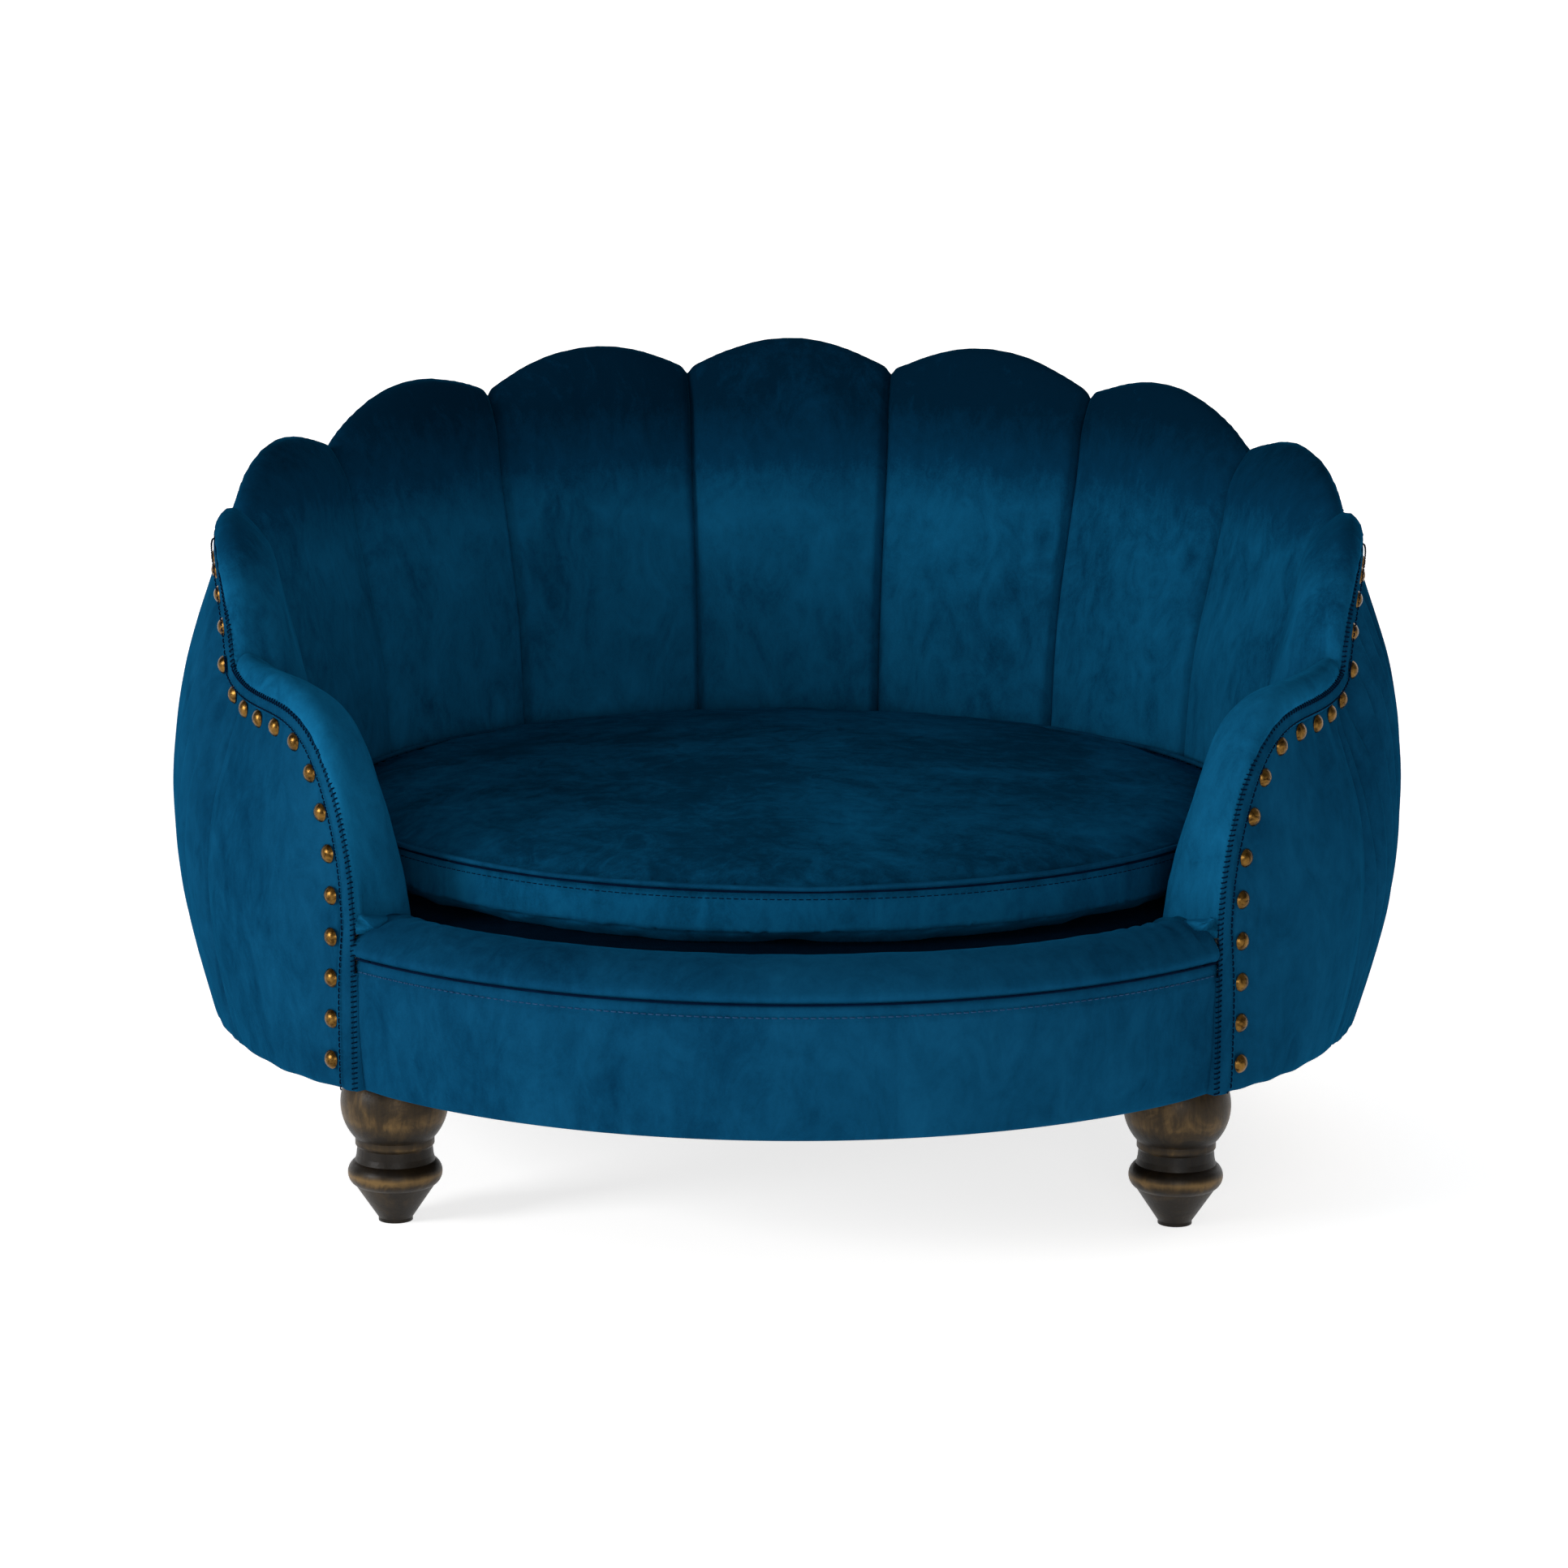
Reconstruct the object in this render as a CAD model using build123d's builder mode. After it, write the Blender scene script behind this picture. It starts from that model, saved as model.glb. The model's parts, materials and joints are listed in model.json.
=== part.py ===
"""Round velvet pet sofa: a fluted tub wall on turned feet, with a loose zipped seat cushion.

+X is to the right as one faces the sofa, +Y to its back, +Z up. The origin is on the floor,
under the middle of the outer box. Sizes are in millimetres and angles in degrees. Plan angles
run from the middle of the back, positive to the right.
"""
from build123d import *
from math import cos, degrees, hypot, pi, radians, sin, sqrt
import os

os.makedirs("parts", exist_ok=True)

# Overall driving dimensions: the seam is the stitched line that the whole rim follows
overall_height = 454
seam_radius = 345
underside_height = 87

# Plan angles and counts of the fluted wall
middle_petal_angle = 23.4
side_petal_angle = 24.4
side_petals = 5
arm_end_angle = 134.6
rail_gap_angle = 0.4
return_angle = 0.25
panel_seam_angle = 111.5
swell_start_angle = 100

# Clearances
rest_gap = 0.3
lay_gap = 0.3
hook_gap = 0.8

# Boards of the frame
base_board_thickness = 12
deck_top = 154
deck_board_thickness = 9
wall_board_thickness = 9
wall_board_inset = 37
wall_board_top_inset = 10.6
rail_board_thickness = 9
rail_pad_depth = 10
wall_top_padding = 18
block_size = 30
block_inset = 28
block_count = 8
block_first_angle = 22.5
post_depth = 19
post_width = 16
post_inset = 23.5
post_turn_angle = 2.3

# Deck and its cloths
deck_foam_thickness = 22
deck_cover_thickness = 1
dust_cover_thickness = 0.8
dust_cover_hem_inset = 15
dust_cover_rail_inset = 18
staple_inset = 18
staple_count = 18
staple_first_angle = 10
staple_width = 10
staple_wire = 0.8
staple_leg = 6

# Velvet skins of the cushion and the petals
skin = 1.5

# Petals: their faces at the seat, their lean to the rim and their rolled crest
petal_pad_depth = 17
petal_swell = 8.5
petal_lean = 28
petal_crest_inset = 9
petal_crest_drop = 9
arm_end_roll = 9
seat_share = 0.12
roll_share = 0.8
arc_middle_share = 0.245
crest_in_shares = (0.32, 0.59)
crest_out_shares = (0.75, 0.25)

# Heights of the petal seams above the deck and the rise of each petal over them, as shares
seam_shares = (0.942, 0.942, 0.912, 0.835, 0.745, 0.552, 0.137)
rise_shares = (0.058, 0.06, 0.062, 0.068, 0.13, 0.235)
fan_skew_shares = (1.0, 1.0, 1.0, 1.1, 1.45, 2.4)
fan_round_shares = (1.0, 1.0, 1.0, 0.9, 0.6, 0.5)
petal_station_shares = (0.0, 0.25, 0.5, 0.75, 1.0)
arm_station_shares = (0.0, 0.2, 0.45, 0.65, 0.8, 0.92, 1.0)

# Outer cover, its pleats and the strip along the rim
cover_thickness = 3
wadding_gap = 1.5
wadding_top_share = 0.85
wall_bulge = 29
cover_top_reach = 1
cover_nail_reach = 2.5
cover_front_reach = 5
cover_foot_reach = 7
hem_draw = 7
nail_margin = 11
bulge_share = 0.5
hem_rise = 4
panel_seam_draw = 3
panel_seam_width_angle = 2
pleat_depth = 4.5
pleat_angle = 2.9
first_pleat_angle = 109.3
right_pleats = 8
left_pleats = 6
strip_width = 8.5
strip_thickness = 2
strip_tilt = 1

# Bow-front rail
rail_front_reach = 2
rail_end_inset = 3
rail_seam_rise = 11
rail_seam_reach = 4
rail_roll_rise = 31
rail_roll_depth = 47.5
rail_roll_crest_share = 0.31
rail_roll_front_shares = (0.8, 0.72)
rail_roll_inner_share = 0.62
rail_roll_inner_middle_shares = (0.28, 0.76)
rail_face_crown = 3.2
rail_loft_steps = 8

# Loose cushion
cushion_side_gap = 3.5
cushion_lower_seam = 7
cushion_boxing_height = 30
cushion_crown = 19
cushion_edge_round = 43
cushion_boxing_crown = 1.6
under_bulge_share = 0.38
zip_half_angle = 62
zip_band_height = 14
zip_depth = 7
zip_tape_thickness = 1
zip_teeth_width = 5
zip_teeth_thickness = 1.6
slider_length = 10
slider_width = 9
slider_corner_radius = 2.25
slider_thickness = 1.6
slider_angle = 58.5
lug_length = 2.4
lug_thickness = 1
pull_length = 16
pull_width = 5
pull_thickness = 0.8
pull_side_gap = 0.3
pull_hole_radius = 1.2
pull_pin_radius = 0.5
pin_clearance = 0.05
pin_rise = 0.9

# Turned feet and their fixings
foot_inset = 36.8
foot_angle = 48.1
foot_ball_radius = 31.3
bolt_radius = 4
bolt_foot_length = 28
tee_barrel_radius = 5
tee_flange_radius = 9
tee_flange_thickness = 1.5
tee_clearance = 1

# Dome nails
nail_head_radius = 5.5
nail_head_height = 3.2
nail_shank_radius = 0.9
nail_shank_length = 13
nail_pitch = 24
nail_lowest_rise = 17
nail_sink = 0.4
nail_side_gap = 0.5
nail_round_share = 0.76
nail_line_steps = 400
inset_steps = 12

# Foot outline from the floor up: heights as shares of the underside, radii of the ball
foot_height_shares = (0.0, 0.023, 0.12, 0.252, 0.351, 0.418, 0.457, 0.514, 0.532, 0.577, 0.816)
foot_radius_shares = (0.319, 0.319, 0.50, 0.744, 0.875, 0.744, 0.716, 0.70, 0.735, 0.735, 1.0)

# Places worked out from the driving dimensions
wall_bulge_radius = seam_radius + wall_bulge
wall_foot_radius = seam_radius + cover_foot_reach
wall_hem_radius = wall_foot_radius - hem_draw
cover_top_radius = seam_radius + cover_top_reach
cover_nail_radius = seam_radius + cover_nail_reach
cover_front_radius = seam_radius + cover_front_reach
wall_board_radius = seam_radius - wall_board_inset
wall_board_top_radius = seam_radius - wall_board_top_inset
petal_crest_radius = seam_radius - petal_crest_inset
petal_seat_radius = wall_board_radius - petal_pad_depth
rail_front_radius = seam_radius + rail_front_reach
rail_end_radius = seam_radius - rail_end_inset
rail_roll_inner_radius = rail_front_radius - rail_roll_depth
cushion_radius = petal_seat_radius - petal_swell - cushion_side_gap
cushion_flat_radius = cushion_radius - cushion_edge_round
ring_y = (rail_front_radius + rail_seam_reach - wall_bulge_radius) / 2
base_top = underside_height + base_board_thickness
deck_bottom = deck_top - deck_board_thickness
wall_height = overall_height - deck_top
rail_end_angle = arm_end_angle + rail_gap_angle
rail_seam_height = deck_top + rail_seam_rise
base_board_radius = wall_hem_radius - cover_thickness - lay_gap
dust_cover_radius = wall_hem_radius - dust_cover_hem_inset
staple_radius = dust_cover_radius - staple_inset
block_radius = wall_board_radius - block_inset
post_inner_radius = seam_radius - post_inset
post_angle = arm_end_angle - post_turn_angle
foot_ring_radius = base_board_radius - foot_inset
foot_top = underside_height - dust_cover_thickness
deck_cover_top = deck_top + deck_foam_thickness + deck_cover_thickness
cushion_bottom = deck_cover_top + rest_gap
cushion_low_seam_height = cushion_bottom + cushion_lower_seam
cushion_top_seam_height = cushion_low_seam_height + cushion_boxing_height


def finish(sub_part, name):
    """Label a finished piece and write it to its own file."""
    sub_part.label = name
    export_step(sub_part, f"parts/{name}.step")


def outward(angle):
    """Unit vector from the ring's middle at a plan angle."""
    return Vector(sin(radians(angle)), cos(radians(angle)), 0)


def radial_plane(angle):
    """Upright plane through the ring's axis: local x is the radius, local y the height."""
    out = outward(angle)
    return Plane(origin=(0, ring_y, 0), x_dir=out, z_dir=out.cross(Vector(0, 0, 1)))


def petal_span(number):
    """Plan angles of a petal's two seams, counted out from the middle of the back."""
    half = middle_petal_angle / 2
    if number == 0:
        return -half, half
    low = half + side_petal_angle * (number - 1)
    return low, low + side_petal_angle if number < side_petals else arm_end_angle


def between(start, end, share):
    """Value at a share of the way from start to end."""
    return start + (end - start) * share


def rim_height(angle):
    """Height of the petals' crest: straight between seams, with a fan over each petal."""
    turn = min(abs(angle), arm_end_angle)
    number = 0
    while number < side_petals and turn > petal_span(number)[1]:
        number += 1
    low, high = petal_span(number)
    share = min(max((turn - low) / (high - low), 0), 1)
    chord = between(seam_shares[number], seam_shares[number + 1], share)
    fan = sin(pi * share ** fan_skew_shares[number]) if 0 < share < 1 else 0
    rise = rise_shares[number] * fan ** fan_round_shares[number]
    return deck_top + wall_height * (chord + rise)


def inset_height(angle, inset):
    """Height of the line that runs at an even distance under the stitched seam."""
    reach = degrees(inset / seam_radius)
    heights = []
    for step in range(-inset_steps, inset_steps + 1):
        turn = reach * step / inset_steps
        drop = sqrt(max(inset**2 - (seam_radius * radians(turn)) ** 2, 0))
        heights.append(rim_height(angle + turn) - petal_crest_drop - drop)
    return min(heights)


def board_radius(height):
    """Inner radius of the leaning wall board at a height."""
    share = (height - base_top) / (overall_height - base_top)
    return between(wall_board_radius, wall_board_top_radius, share)


def board_top(angle):
    """Top edge of the wall board, under the padding of the rim."""
    return rim_height(angle) - wall_top_padding


def arc_radius(start, middle, end, height):
    """Radius, at a height, of the arc through three points, on its middle's side of the centre."""
    (ax, ay), (bx, by), (cx, cy) = start, middle, end
    twice = 2 * (ax * (by - cy) + bx * (cy - ay) + cx * (ay - by))
    a2, b2, c2 = ax**2 + ay**2, bx**2 + by**2, cx**2 + cy**2
    mid_x = (a2 * (by - cy) + b2 * (cy - ay) + c2 * (ay - by)) / twice
    mid_y = (a2 * (cx - bx) + b2 * (ax - cx) + c2 * (bx - ax)) / twice
    radius = hypot(ax - mid_x, ay - mid_y)
    reach = sqrt(max(radius**2 - (height - mid_y) ** 2, 0))
    return mid_x + reach if bx > mid_x else mid_x - reach


def closed_face(start, steps):
    """Closed outline of lines and arcs: each step is an end point, or a middle and an end."""
    with BuildLine() as outline:
        here = start
        for step in steps:
            if len(step) == 2 and isinstance(step[0], tuple):
                ThreePointArc(here, step[0], step[1])
                here = step[1]
            else:
                Line(here, step)
                here = step
        Line(here, start)
    make_face(outline.edges())


def loft_along(angles, draw_section, ruled=False):
    """One solid through the radial sections at the given plan angles."""
    with BuildPart() as span:
        for angle in angles:
            with BuildSketch(radial_plane(angle)):
                draw_section(angle)
        loft(ruled=ruled)
    return span.part


def spread(low, high, shares):
    """Plan angles at shares of the way between two others."""
    return [between(low, high, share) for share in shares]


def petal_stations(number):
    """Plan angles of a petal's sections, from its low seam to its high one."""
    low, high = petal_span(abs(number))
    shares = arm_station_shares if abs(number) == side_petals else petal_station_shares
    angles = spread(low, high, shares)
    return angles if number >= 0 else [-angle for angle in reversed(angles)]


def petal_curve(number, angle, inset):
    """Face of a petal in section at an inset, from the seat over its crest to the stitched seam."""
    low, high = petal_span(abs(number))
    share = (abs(angle) - low) / (high - low) if number else (angle - low) / (high - low)
    swell = petal_swell * 4 * share * (1 - share)
    roll = arm_end_roll * share**4 if abs(number) == side_petals else 0
    rim = rim_height(angle)
    wall = rim - deck_top
    seat = petal_seat_radius - swell + roll + inset
    lean = petal_lean * sqrt(min(wall / wall_height, 1))
    foot = (seat, deck_top)
    upright = (seat, deck_top + seat_share * wall)
    lean_middle = (seat + arc_middle_share * lean, deck_top + (seat_share + roll_share) / 2 * wall)
    leant = (seat + lean, deck_top + roll_share * wall)
    crest = (petal_crest_radius - swell / 2, rim - inset)
    seam = (seam_radius - inset, rim - petal_crest_drop)
    crest_in = (between(leant[0], crest[0], crest_in_shares[0]),
                between(leant[1], crest[1], crest_in_shares[1]))
    crest_out = (between(crest[0], seam[0], crest_out_shares[0]),
                 between(crest[1], seam[1], crest_out_shares[1]))
    return foot, upright, lean_middle, leant, crest_in, crest, crest_out, seam


def draw_petal_cover(number, angle):
    """Section of a petal's velvet, from the seat over the crest to the stitched seam."""
    foot, upright, lean_middle, leant, crest_in, crest, crest_out, seam = petal_curve(number, angle, 0)
    back = petal_curve(number, angle, skin)
    closed_face(foot, [
        upright,
        (lean_middle, leant),
        (crest_in, crest),
        (crest_out, seam),
        back[7],
        (back[6], back[5]),
        (back[4], back[3]),
        (back[2], back[1]),
        back[0],
    ])


def draw_petal_foam(number, angle):
    """Section of a petal's foam, behind the velvet and hooked over the wall board's top."""
    foot, upright, lean_middle, leant, crest_in, crest, crest_out, seam = petal_curve(
        number, angle, skin + lay_gap)
    top = board_top(angle)
    closed_face(foot, [
        upright,
        (lean_middle, leant),
        (crest_in, crest),
        (crest_out, seam),
        (seam[0], inset_height(angle, strip_width) + hook_gap),
        (board_radius(top) + wall_board_thickness + lay_gap, top + hook_gap),
        (board_radius(top) - lay_gap, top + hook_gap),
        (board_radius(deck_top) - lay_gap, deck_top),
    ])


def draw_wall_board(angle):
    """Section of the leaning ply wall board."""
    top = board_top(angle)
    low, high = board_radius(base_top), board_radius(top)
    closed_face((low, base_top), [
        (low + wall_board_thickness, base_top),
        (high + wall_board_thickness, top),
        (high, top),
    ])


def cover_end_angle():
    """Plan angle of the outer cover's front edge."""
    return arm_end_angle - degrees(strip_width / seam_radius)


def bulge_radius(angle):
    """Fullest radius of the outer cover at a plan angle."""
    turn = abs(angle)
    share = max(turn - swell_start_angle, 0) / (cover_end_angle() - swell_start_angle)
    full = between(cover_front_radius, wall_bulge_radius, cos(pi / 2 * min(share, 1)))
    near = (turn - panel_seam_angle) / panel_seam_width_angle
    return full - panel_seam_draw / (1 + near**4)


def pleat_offset(angle):
    """How far the gathered cloth is drawn in at a plan angle: alternate ridges and hollows."""
    pleats = right_pleats if angle > 0 else left_pleats
    steps = (first_pleat_angle - abs(angle)) / pleat_angle * 2
    folded = 0 < steps < 2 * pleats and round(steps) % 2 == 1
    return pleat_depth if folded else 0


def cover_curve(angle, draw=0, inset=0):
    """Outer cover in section at an inset, from its nailed edge to its hem, with arc middles."""
    top = inset_height(angle, strip_width)
    bulge = bulge_radius(angle) - draw - inset
    edge = (cover_top_radius - inset, top)
    nailed = (cover_nail_radius - inset, top - nail_margin)
    middle = between(underside_height, top, bulge_share)
    foot = (wall_foot_radius - inset, underside_height + hem_rise)
    upper = (between(bulge, nailed[0], arc_middle_share), (middle + nailed[1]) / 2)
    lower = (between(bulge, foot[0], arc_middle_share), (middle + foot[1]) / 2)
    hem = (wall_hem_radius - inset, underside_height)
    return edge, nailed, upper, (bulge, middle), lower, foot, hem


def draw_cover(angle):
    """Section of the outer cover, a velvet shell from its nailed edge to its hem."""
    draw = pleat_offset(angle)
    edge, nailed, upper, fullest, lower, foot, hem = cover_curve(angle, draw)
    back = cover_curve(angle, draw, cover_thickness)
    closed_face(edge, [
        nailed,
        (upper, fullest),
        (lower, foot),
        hem,
        back[6],
        back[5],
        (back[4], back[3]),
        (back[2], back[1]),
        back[0],
    ])


def draw_wadding(angle):
    """Section of the wadding behind the outer cover, clear of the deepest pleat."""
    behind = cover_thickness + wadding_gap
    edge, nailed, upper, fullest, lower, foot, hem = cover_curve(angle, pleat_depth, behind)
    top = between(fullest[1], nailed[1], wadding_top_share)
    low = base_top + lay_gap
    backed = wall_board_thickness + lay_gap
    closed_face((board_radius(base_top) + backed, low), [
        (foot[0], low),
        (lower, fullest),
        ((upper[0], (fullest[1] + top) / 2), (nailed[0], top)),
        (board_radius(top) + backed, top),
    ])


def draw_strip(angle, low=None):
    """Section of the strip between the stitched seam and the nailed edge, or a lower end."""
    top = rim_height(angle) - petal_crest_drop
    low = inset_height(angle, strip_width - rest_gap) if low is None else low
    closed_face((seam_radius + rest_gap, top), [
        (seam_radius + rest_gap + strip_thickness, top),
        (seam_radius + rest_gap + strip_thickness + strip_tilt, low),
        (seam_radius + rest_gap + strip_tilt, low),
    ])


def draw_strip_front(angle):
    """Section of the strip where it runs down the front of an arm to the hem."""
    draw_strip(angle, underside_height)


def draw_return(angle):
    """Section of the strip's return, which closes an arm's front in to the rail's end."""
    inner, outer = rail_end_radius - rail_pad_depth, seam_radius + rest_gap + strip_thickness
    closed_face((inner, underside_height), [
        (outer, underside_height),
        (outer, deck_top - rest_gap),
        (inner, deck_top - rest_gap),
    ])


def rail_radius(angle):
    """Radius, from the ring's middle, of the rail's bow at a plan angle."""
    turn = radians(180 - abs(angle))
    end = radians(180 - rail_end_angle)
    half_chord = rail_end_radius * sin(end)
    bow = rail_front_radius - rail_end_radius * cos(end)
    radius = (half_chord**2 + bow**2) / (2 * bow)
    shift = rail_front_radius - radius
    return shift * cos(turn) + sqrt(radius**2 - (shift * sin(turn)) ** 2)


def draw_rail_face(angle):
    """Section of the rail's padded front face, under its seam."""
    face = rail_radius(angle)
    back = face - rail_pad_depth
    middle = (face + rail_face_crown, (underside_height + rail_seam_height) / 2)
    closed_face((back, underside_height), [
        (face, underside_height),
        (middle, (face + rail_seam_reach, rail_seam_height - rest_gap)),
        (back, rail_seam_height - rest_gap),
    ])


def draw_rail_roll(angle):
    """Section of the rail's padded top roll, over its seam and on the rail board and the deck."""
    face = rail_radius(angle) + rail_seam_reach
    step = rail_radius(angle) - rail_pad_depth - rest_gap
    crest = (between(rail_roll_inner_radius, face, rail_roll_crest_share), deck_top + rail_roll_rise)
    front_middle = (between(crest[0], face, rail_roll_front_shares[0]),
                    between(rail_seam_height, crest[1], rail_roll_front_shares[1]))
    inner = (rail_roll_inner_radius, deck_top + rail_roll_rise * rail_roll_inner_share)
    inner_middle = (between(inner[0], crest[0], rail_roll_inner_middle_shares[0]),
                    between(inner[1], crest[1], rail_roll_inner_middle_shares[1]))
    closed_face((rail_roll_inner_radius, deck_top + rest_gap), [
        (step, deck_top + rest_gap),
        (step, rail_seam_height),
        (face, rail_seam_height),
        (front_middle, crest),
        (inner_middle, inner),
    ])


def plan_outline(ring, end, front):
    """Plan of the seat: the ring's arc, stepped in at the arms' ends, closed by a flatter arc."""
    ring_end = outward(arm_end_angle) * ring
    front_end = outward(arm_end_angle) * end
    with BuildLine() as outline:
        ThreePointArc((-ring_end.X, ring_end.Y), (0, ring), (ring_end.X, ring_end.Y))
        ThreePointArc((front_end.X, front_end.Y), (0, -front), (-front_end.X, front_end.Y))
        if ring != end:
            Line((ring_end.X, ring_end.Y), (front_end.X, front_end.Y))
            Line((-ring_end.X, ring_end.Y), (-front_end.X, front_end.Y))
    make_face(outline.edges())


def ring_plane(height):
    """Level plane at a height, centred on the ring."""
    return Plane(origin=(0, ring_y, height))


def make_plate(ring, end, front, bottom, thickness):
    """A flat board, pad or cloth cut to the seat's plan."""
    with BuildPart() as plate:
        with BuildSketch(ring_plane(bottom)):
            plan_outline(ring, end, front)
        extrude(amount=thickness)
    return plate.part


def foot_places():
    """Plan places of the four feet: front left, front right, rear left, rear right."""
    spread_out = outward(foot_angle) * foot_ring_radius
    side, front, rear = spread_out.X, ring_y - spread_out.Y, ring_y + spread_out.Y
    return {"front_left": (-side, front), "front_right": (side, front),
            "rear_left": (-side, rear), "rear_right": (side, rear)}


def make_foot(place):
    """Turned foot: tapered toe, bead, neck and ball, bored for its hanger bolt."""
    heights = [share * underside_height for share in foot_height_shares]
    radii = [share * foot_ball_radius for share in foot_radius_shares]
    outline = list(zip(radii, heights))
    ball_top = sqrt(foot_ball_radius**2 - (foot_top - heights[10]) ** 2)
    with BuildPart() as foot:
        with BuildSketch(Plane(origin=(place[0], place[1], 0), x_dir=(1, 0, 0), z_dir=(0, -1, 0))):
            closed_face((0, 0), [
                outline[0], outline[1], (outline[2], outline[3]), (outline[4], outline[5]),
                outline[6], outline[7], outline[8], outline[9],
                (outline[10], (ball_top, foot_top)), (0, foot_top),
            ])
        revolve(axis=Axis((place[0], place[1], 0), (0, 0, 1)))
        with BuildSketch(Plane(origin=(place[0], place[1], foot_top))):
            Circle(bolt_radius)
        extrude(amount=-bolt_foot_length, mode=Mode.SUBTRACT)
    return foot.part


def at_feet(height):
    """Locations over the four feet at a height."""
    return [Location((x, y, height)) for x, y in foot_places().values()]


def turned(start, steps, sweep=360, angle=0):
    """Solid turned about the ring's axis from a closed outline."""
    with BuildPart() as solid:
        with BuildSketch(radial_plane(angle)):
            closed_face(start, steps)
        revolve(axis=Axis((0, ring_y, 0), (0, 0, -1)), revolution_arc=sweep)
    return solid.part


# Petals: the velvet of each sewn channel, and the foam inside it, pressed against the wall board
wall_pieces = []
for number in range(-side_petals, side_petals + 1):
    side = "left" if number < 0 else "right"
    name, foam = f"{side}_petal_{abs(number)}", f"{side}_petal_foam_{abs(number)}"
    if number == 0:
        name, foam = "middle_petal", "middle_petal_foam"
    stations = petal_stations(number)
    wall_pieces.append(loft_along(stations, draw_wall_board))
    with BuildPart() as pressed:
        add(loft_along(stations, lambda angle: draw_petal_foam(number, angle)))
        add(wall_pieces[-1], mode=Mode.SUBTRACT)
    finish(loft_along(stations, lambda angle: draw_petal_cover(number, angle)), name)
    finish(pressed.part, foam)

# Wall board, one bent ply sheet with a scalloped top
with BuildPart() as wall_board:
    for piece in wall_pieces:
        add(piece)
finish(wall_board.part, "wall_board")

# Strip along the rim, from the stitched seam to the nailed edge, and down the arms' fronts
strip_pieces = []
for number in range(-side_petals, side_petals + 1):
    angles = petal_stations(number)
    if abs(number) == side_petals:
        sign = 1 if number > 0 else -1
        low, high = petal_span(side_petals)
        angles = sorted(sign * angle for angle in spread(low, cover_end_angle(), arm_station_shares))
        front = sorted([sign * cover_end_angle(), sign * arm_end_angle])
        strip_pieces.append(loft_along(front, draw_strip_front, ruled=True))
        turned_in = sorted([sign * arm_end_angle, sign * (arm_end_angle + return_angle)])
        strip_pieces.append(loft_along(turned_in, draw_return, ruled=True))
    strip_pieces.append(loft_along(angles, draw_strip))
with BuildPart() as rim_strip:
    for piece in strip_pieces:
        add(piece)
finish(rim_strip.part, "rim_strip")


def seam_edges(low, high):
    """Two plan angles and the petal seams between them."""
    seams = [petal_span(number)[1] for number in range(side_petals)]
    return sorted({low, high, *[seam for seam in seams if low < seam < high]})


def cover_spans(low, high, pleats):
    """Runs of plan angles for the cover: smooth ones between seams, a ruled one over the pleats."""
    pleat_low = first_pleat_angle - pleats * pleat_angle
    edges = [*seam_edges(low, pleat_low), first_pleat_angle, high]
    runs = []
    for start, end in zip(edges, edges[1:]):
        if start == pleat_low:
            count = 2 * pleats
            runs.append((spread(start, end, [step / count for step in range(count + 1)]), True))
        else:
            runs.append((spread(start, end, petal_station_shares), False))
    return runs


def mirrored(angles):
    """The same plan angles on the left side."""
    return [-angle for angle in reversed(angles)]


# Outer cover of the back, with the gathered pleats at both sides, and its wadding
back_cover_pieces = [loft_along(petal_stations(0), draw_cover)]
back_wadding_pieces = [loft_along(petal_stations(0), draw_wadding)]
first_seam = petal_span(0)[1]
back_edges = seam_edges(first_seam, panel_seam_angle)
for sign, pleats in ((1, right_pleats), (-1, left_pleats)):
    for angles, folded in cover_spans(first_seam, panel_seam_angle, pleats):
        angles = angles if sign > 0 else mirrored(angles)
        back_cover_pieces.append(loft_along(angles, draw_cover, ruled=folded))
    for start, end in zip(back_edges, back_edges[1:]):
        angles = spread(start, end, petal_station_shares)
        angles = angles if sign > 0 else mirrored(angles)
        back_wadding_pieces.append(loft_along(angles, draw_wadding))
for name, pieces in (("outer_cover_back", back_cover_pieces),
                     ("wadding_back", back_wadding_pieces)):
    with BuildPart() as back:
        for piece in pieces:
            add(piece)
    finish(back.part, name)

# Outer covers of the two arm fronts, their wooden posts, and the wadding round the posts
for side, sign in (("left", -1), ("right", 1)):
    angles = spread(panel_seam_angle, cover_end_angle(), arm_station_shares)
    angles = angles if sign > 0 else mirrored(angles)
    finish(loft_along(angles, draw_cover), f"outer_cover_{side}")
    out = outward(sign * post_angle)
    middle = out * (post_inner_radius + post_depth / 2) + Vector(0, ring_y, base_top)
    post_plane = Plane(origin=middle, x_dir=out, z_dir=(0, 0, 1))
    with BuildPart() as post:
        with BuildSketch(post_plane):
            Rectangle(post_depth, post_width)
        extrude(amount=deck_top - base_top)
    finish(post.part, f"arm_post_{side}")
    with BuildPart() as wadding:
        add(loft_along(angles, draw_wadding))
        with BuildSketch(post_plane):
            Rectangle(post_depth + 2 * lay_gap, post_width + 2 * lay_gap)
        extrude(amount=overall_height, mode=Mode.SUBTRACT)
    finish(wadding.part, f"wadding_{side}")

# Base board with its foot fixings
with BuildPart() as base_board:
    add(make_plate(base_board_radius, rail_end_radius - rail_pad_depth - rest_gap,
                   rail_front_radius - rail_pad_depth - rest_gap, underside_height,
                   base_board_thickness))
    with Locations(*at_feet(underside_height)):
        Hole(tee_barrel_radius)
    with BuildSketch(Plane.XY.offset(base_top)):
        with Locations(*at_feet(0)):
            Circle(tee_flange_radius + rest_gap)
    extrude(amount=-tee_flange_thickness, mode=Mode.SUBTRACT)
finish(base_board.part, "base_board")

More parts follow.
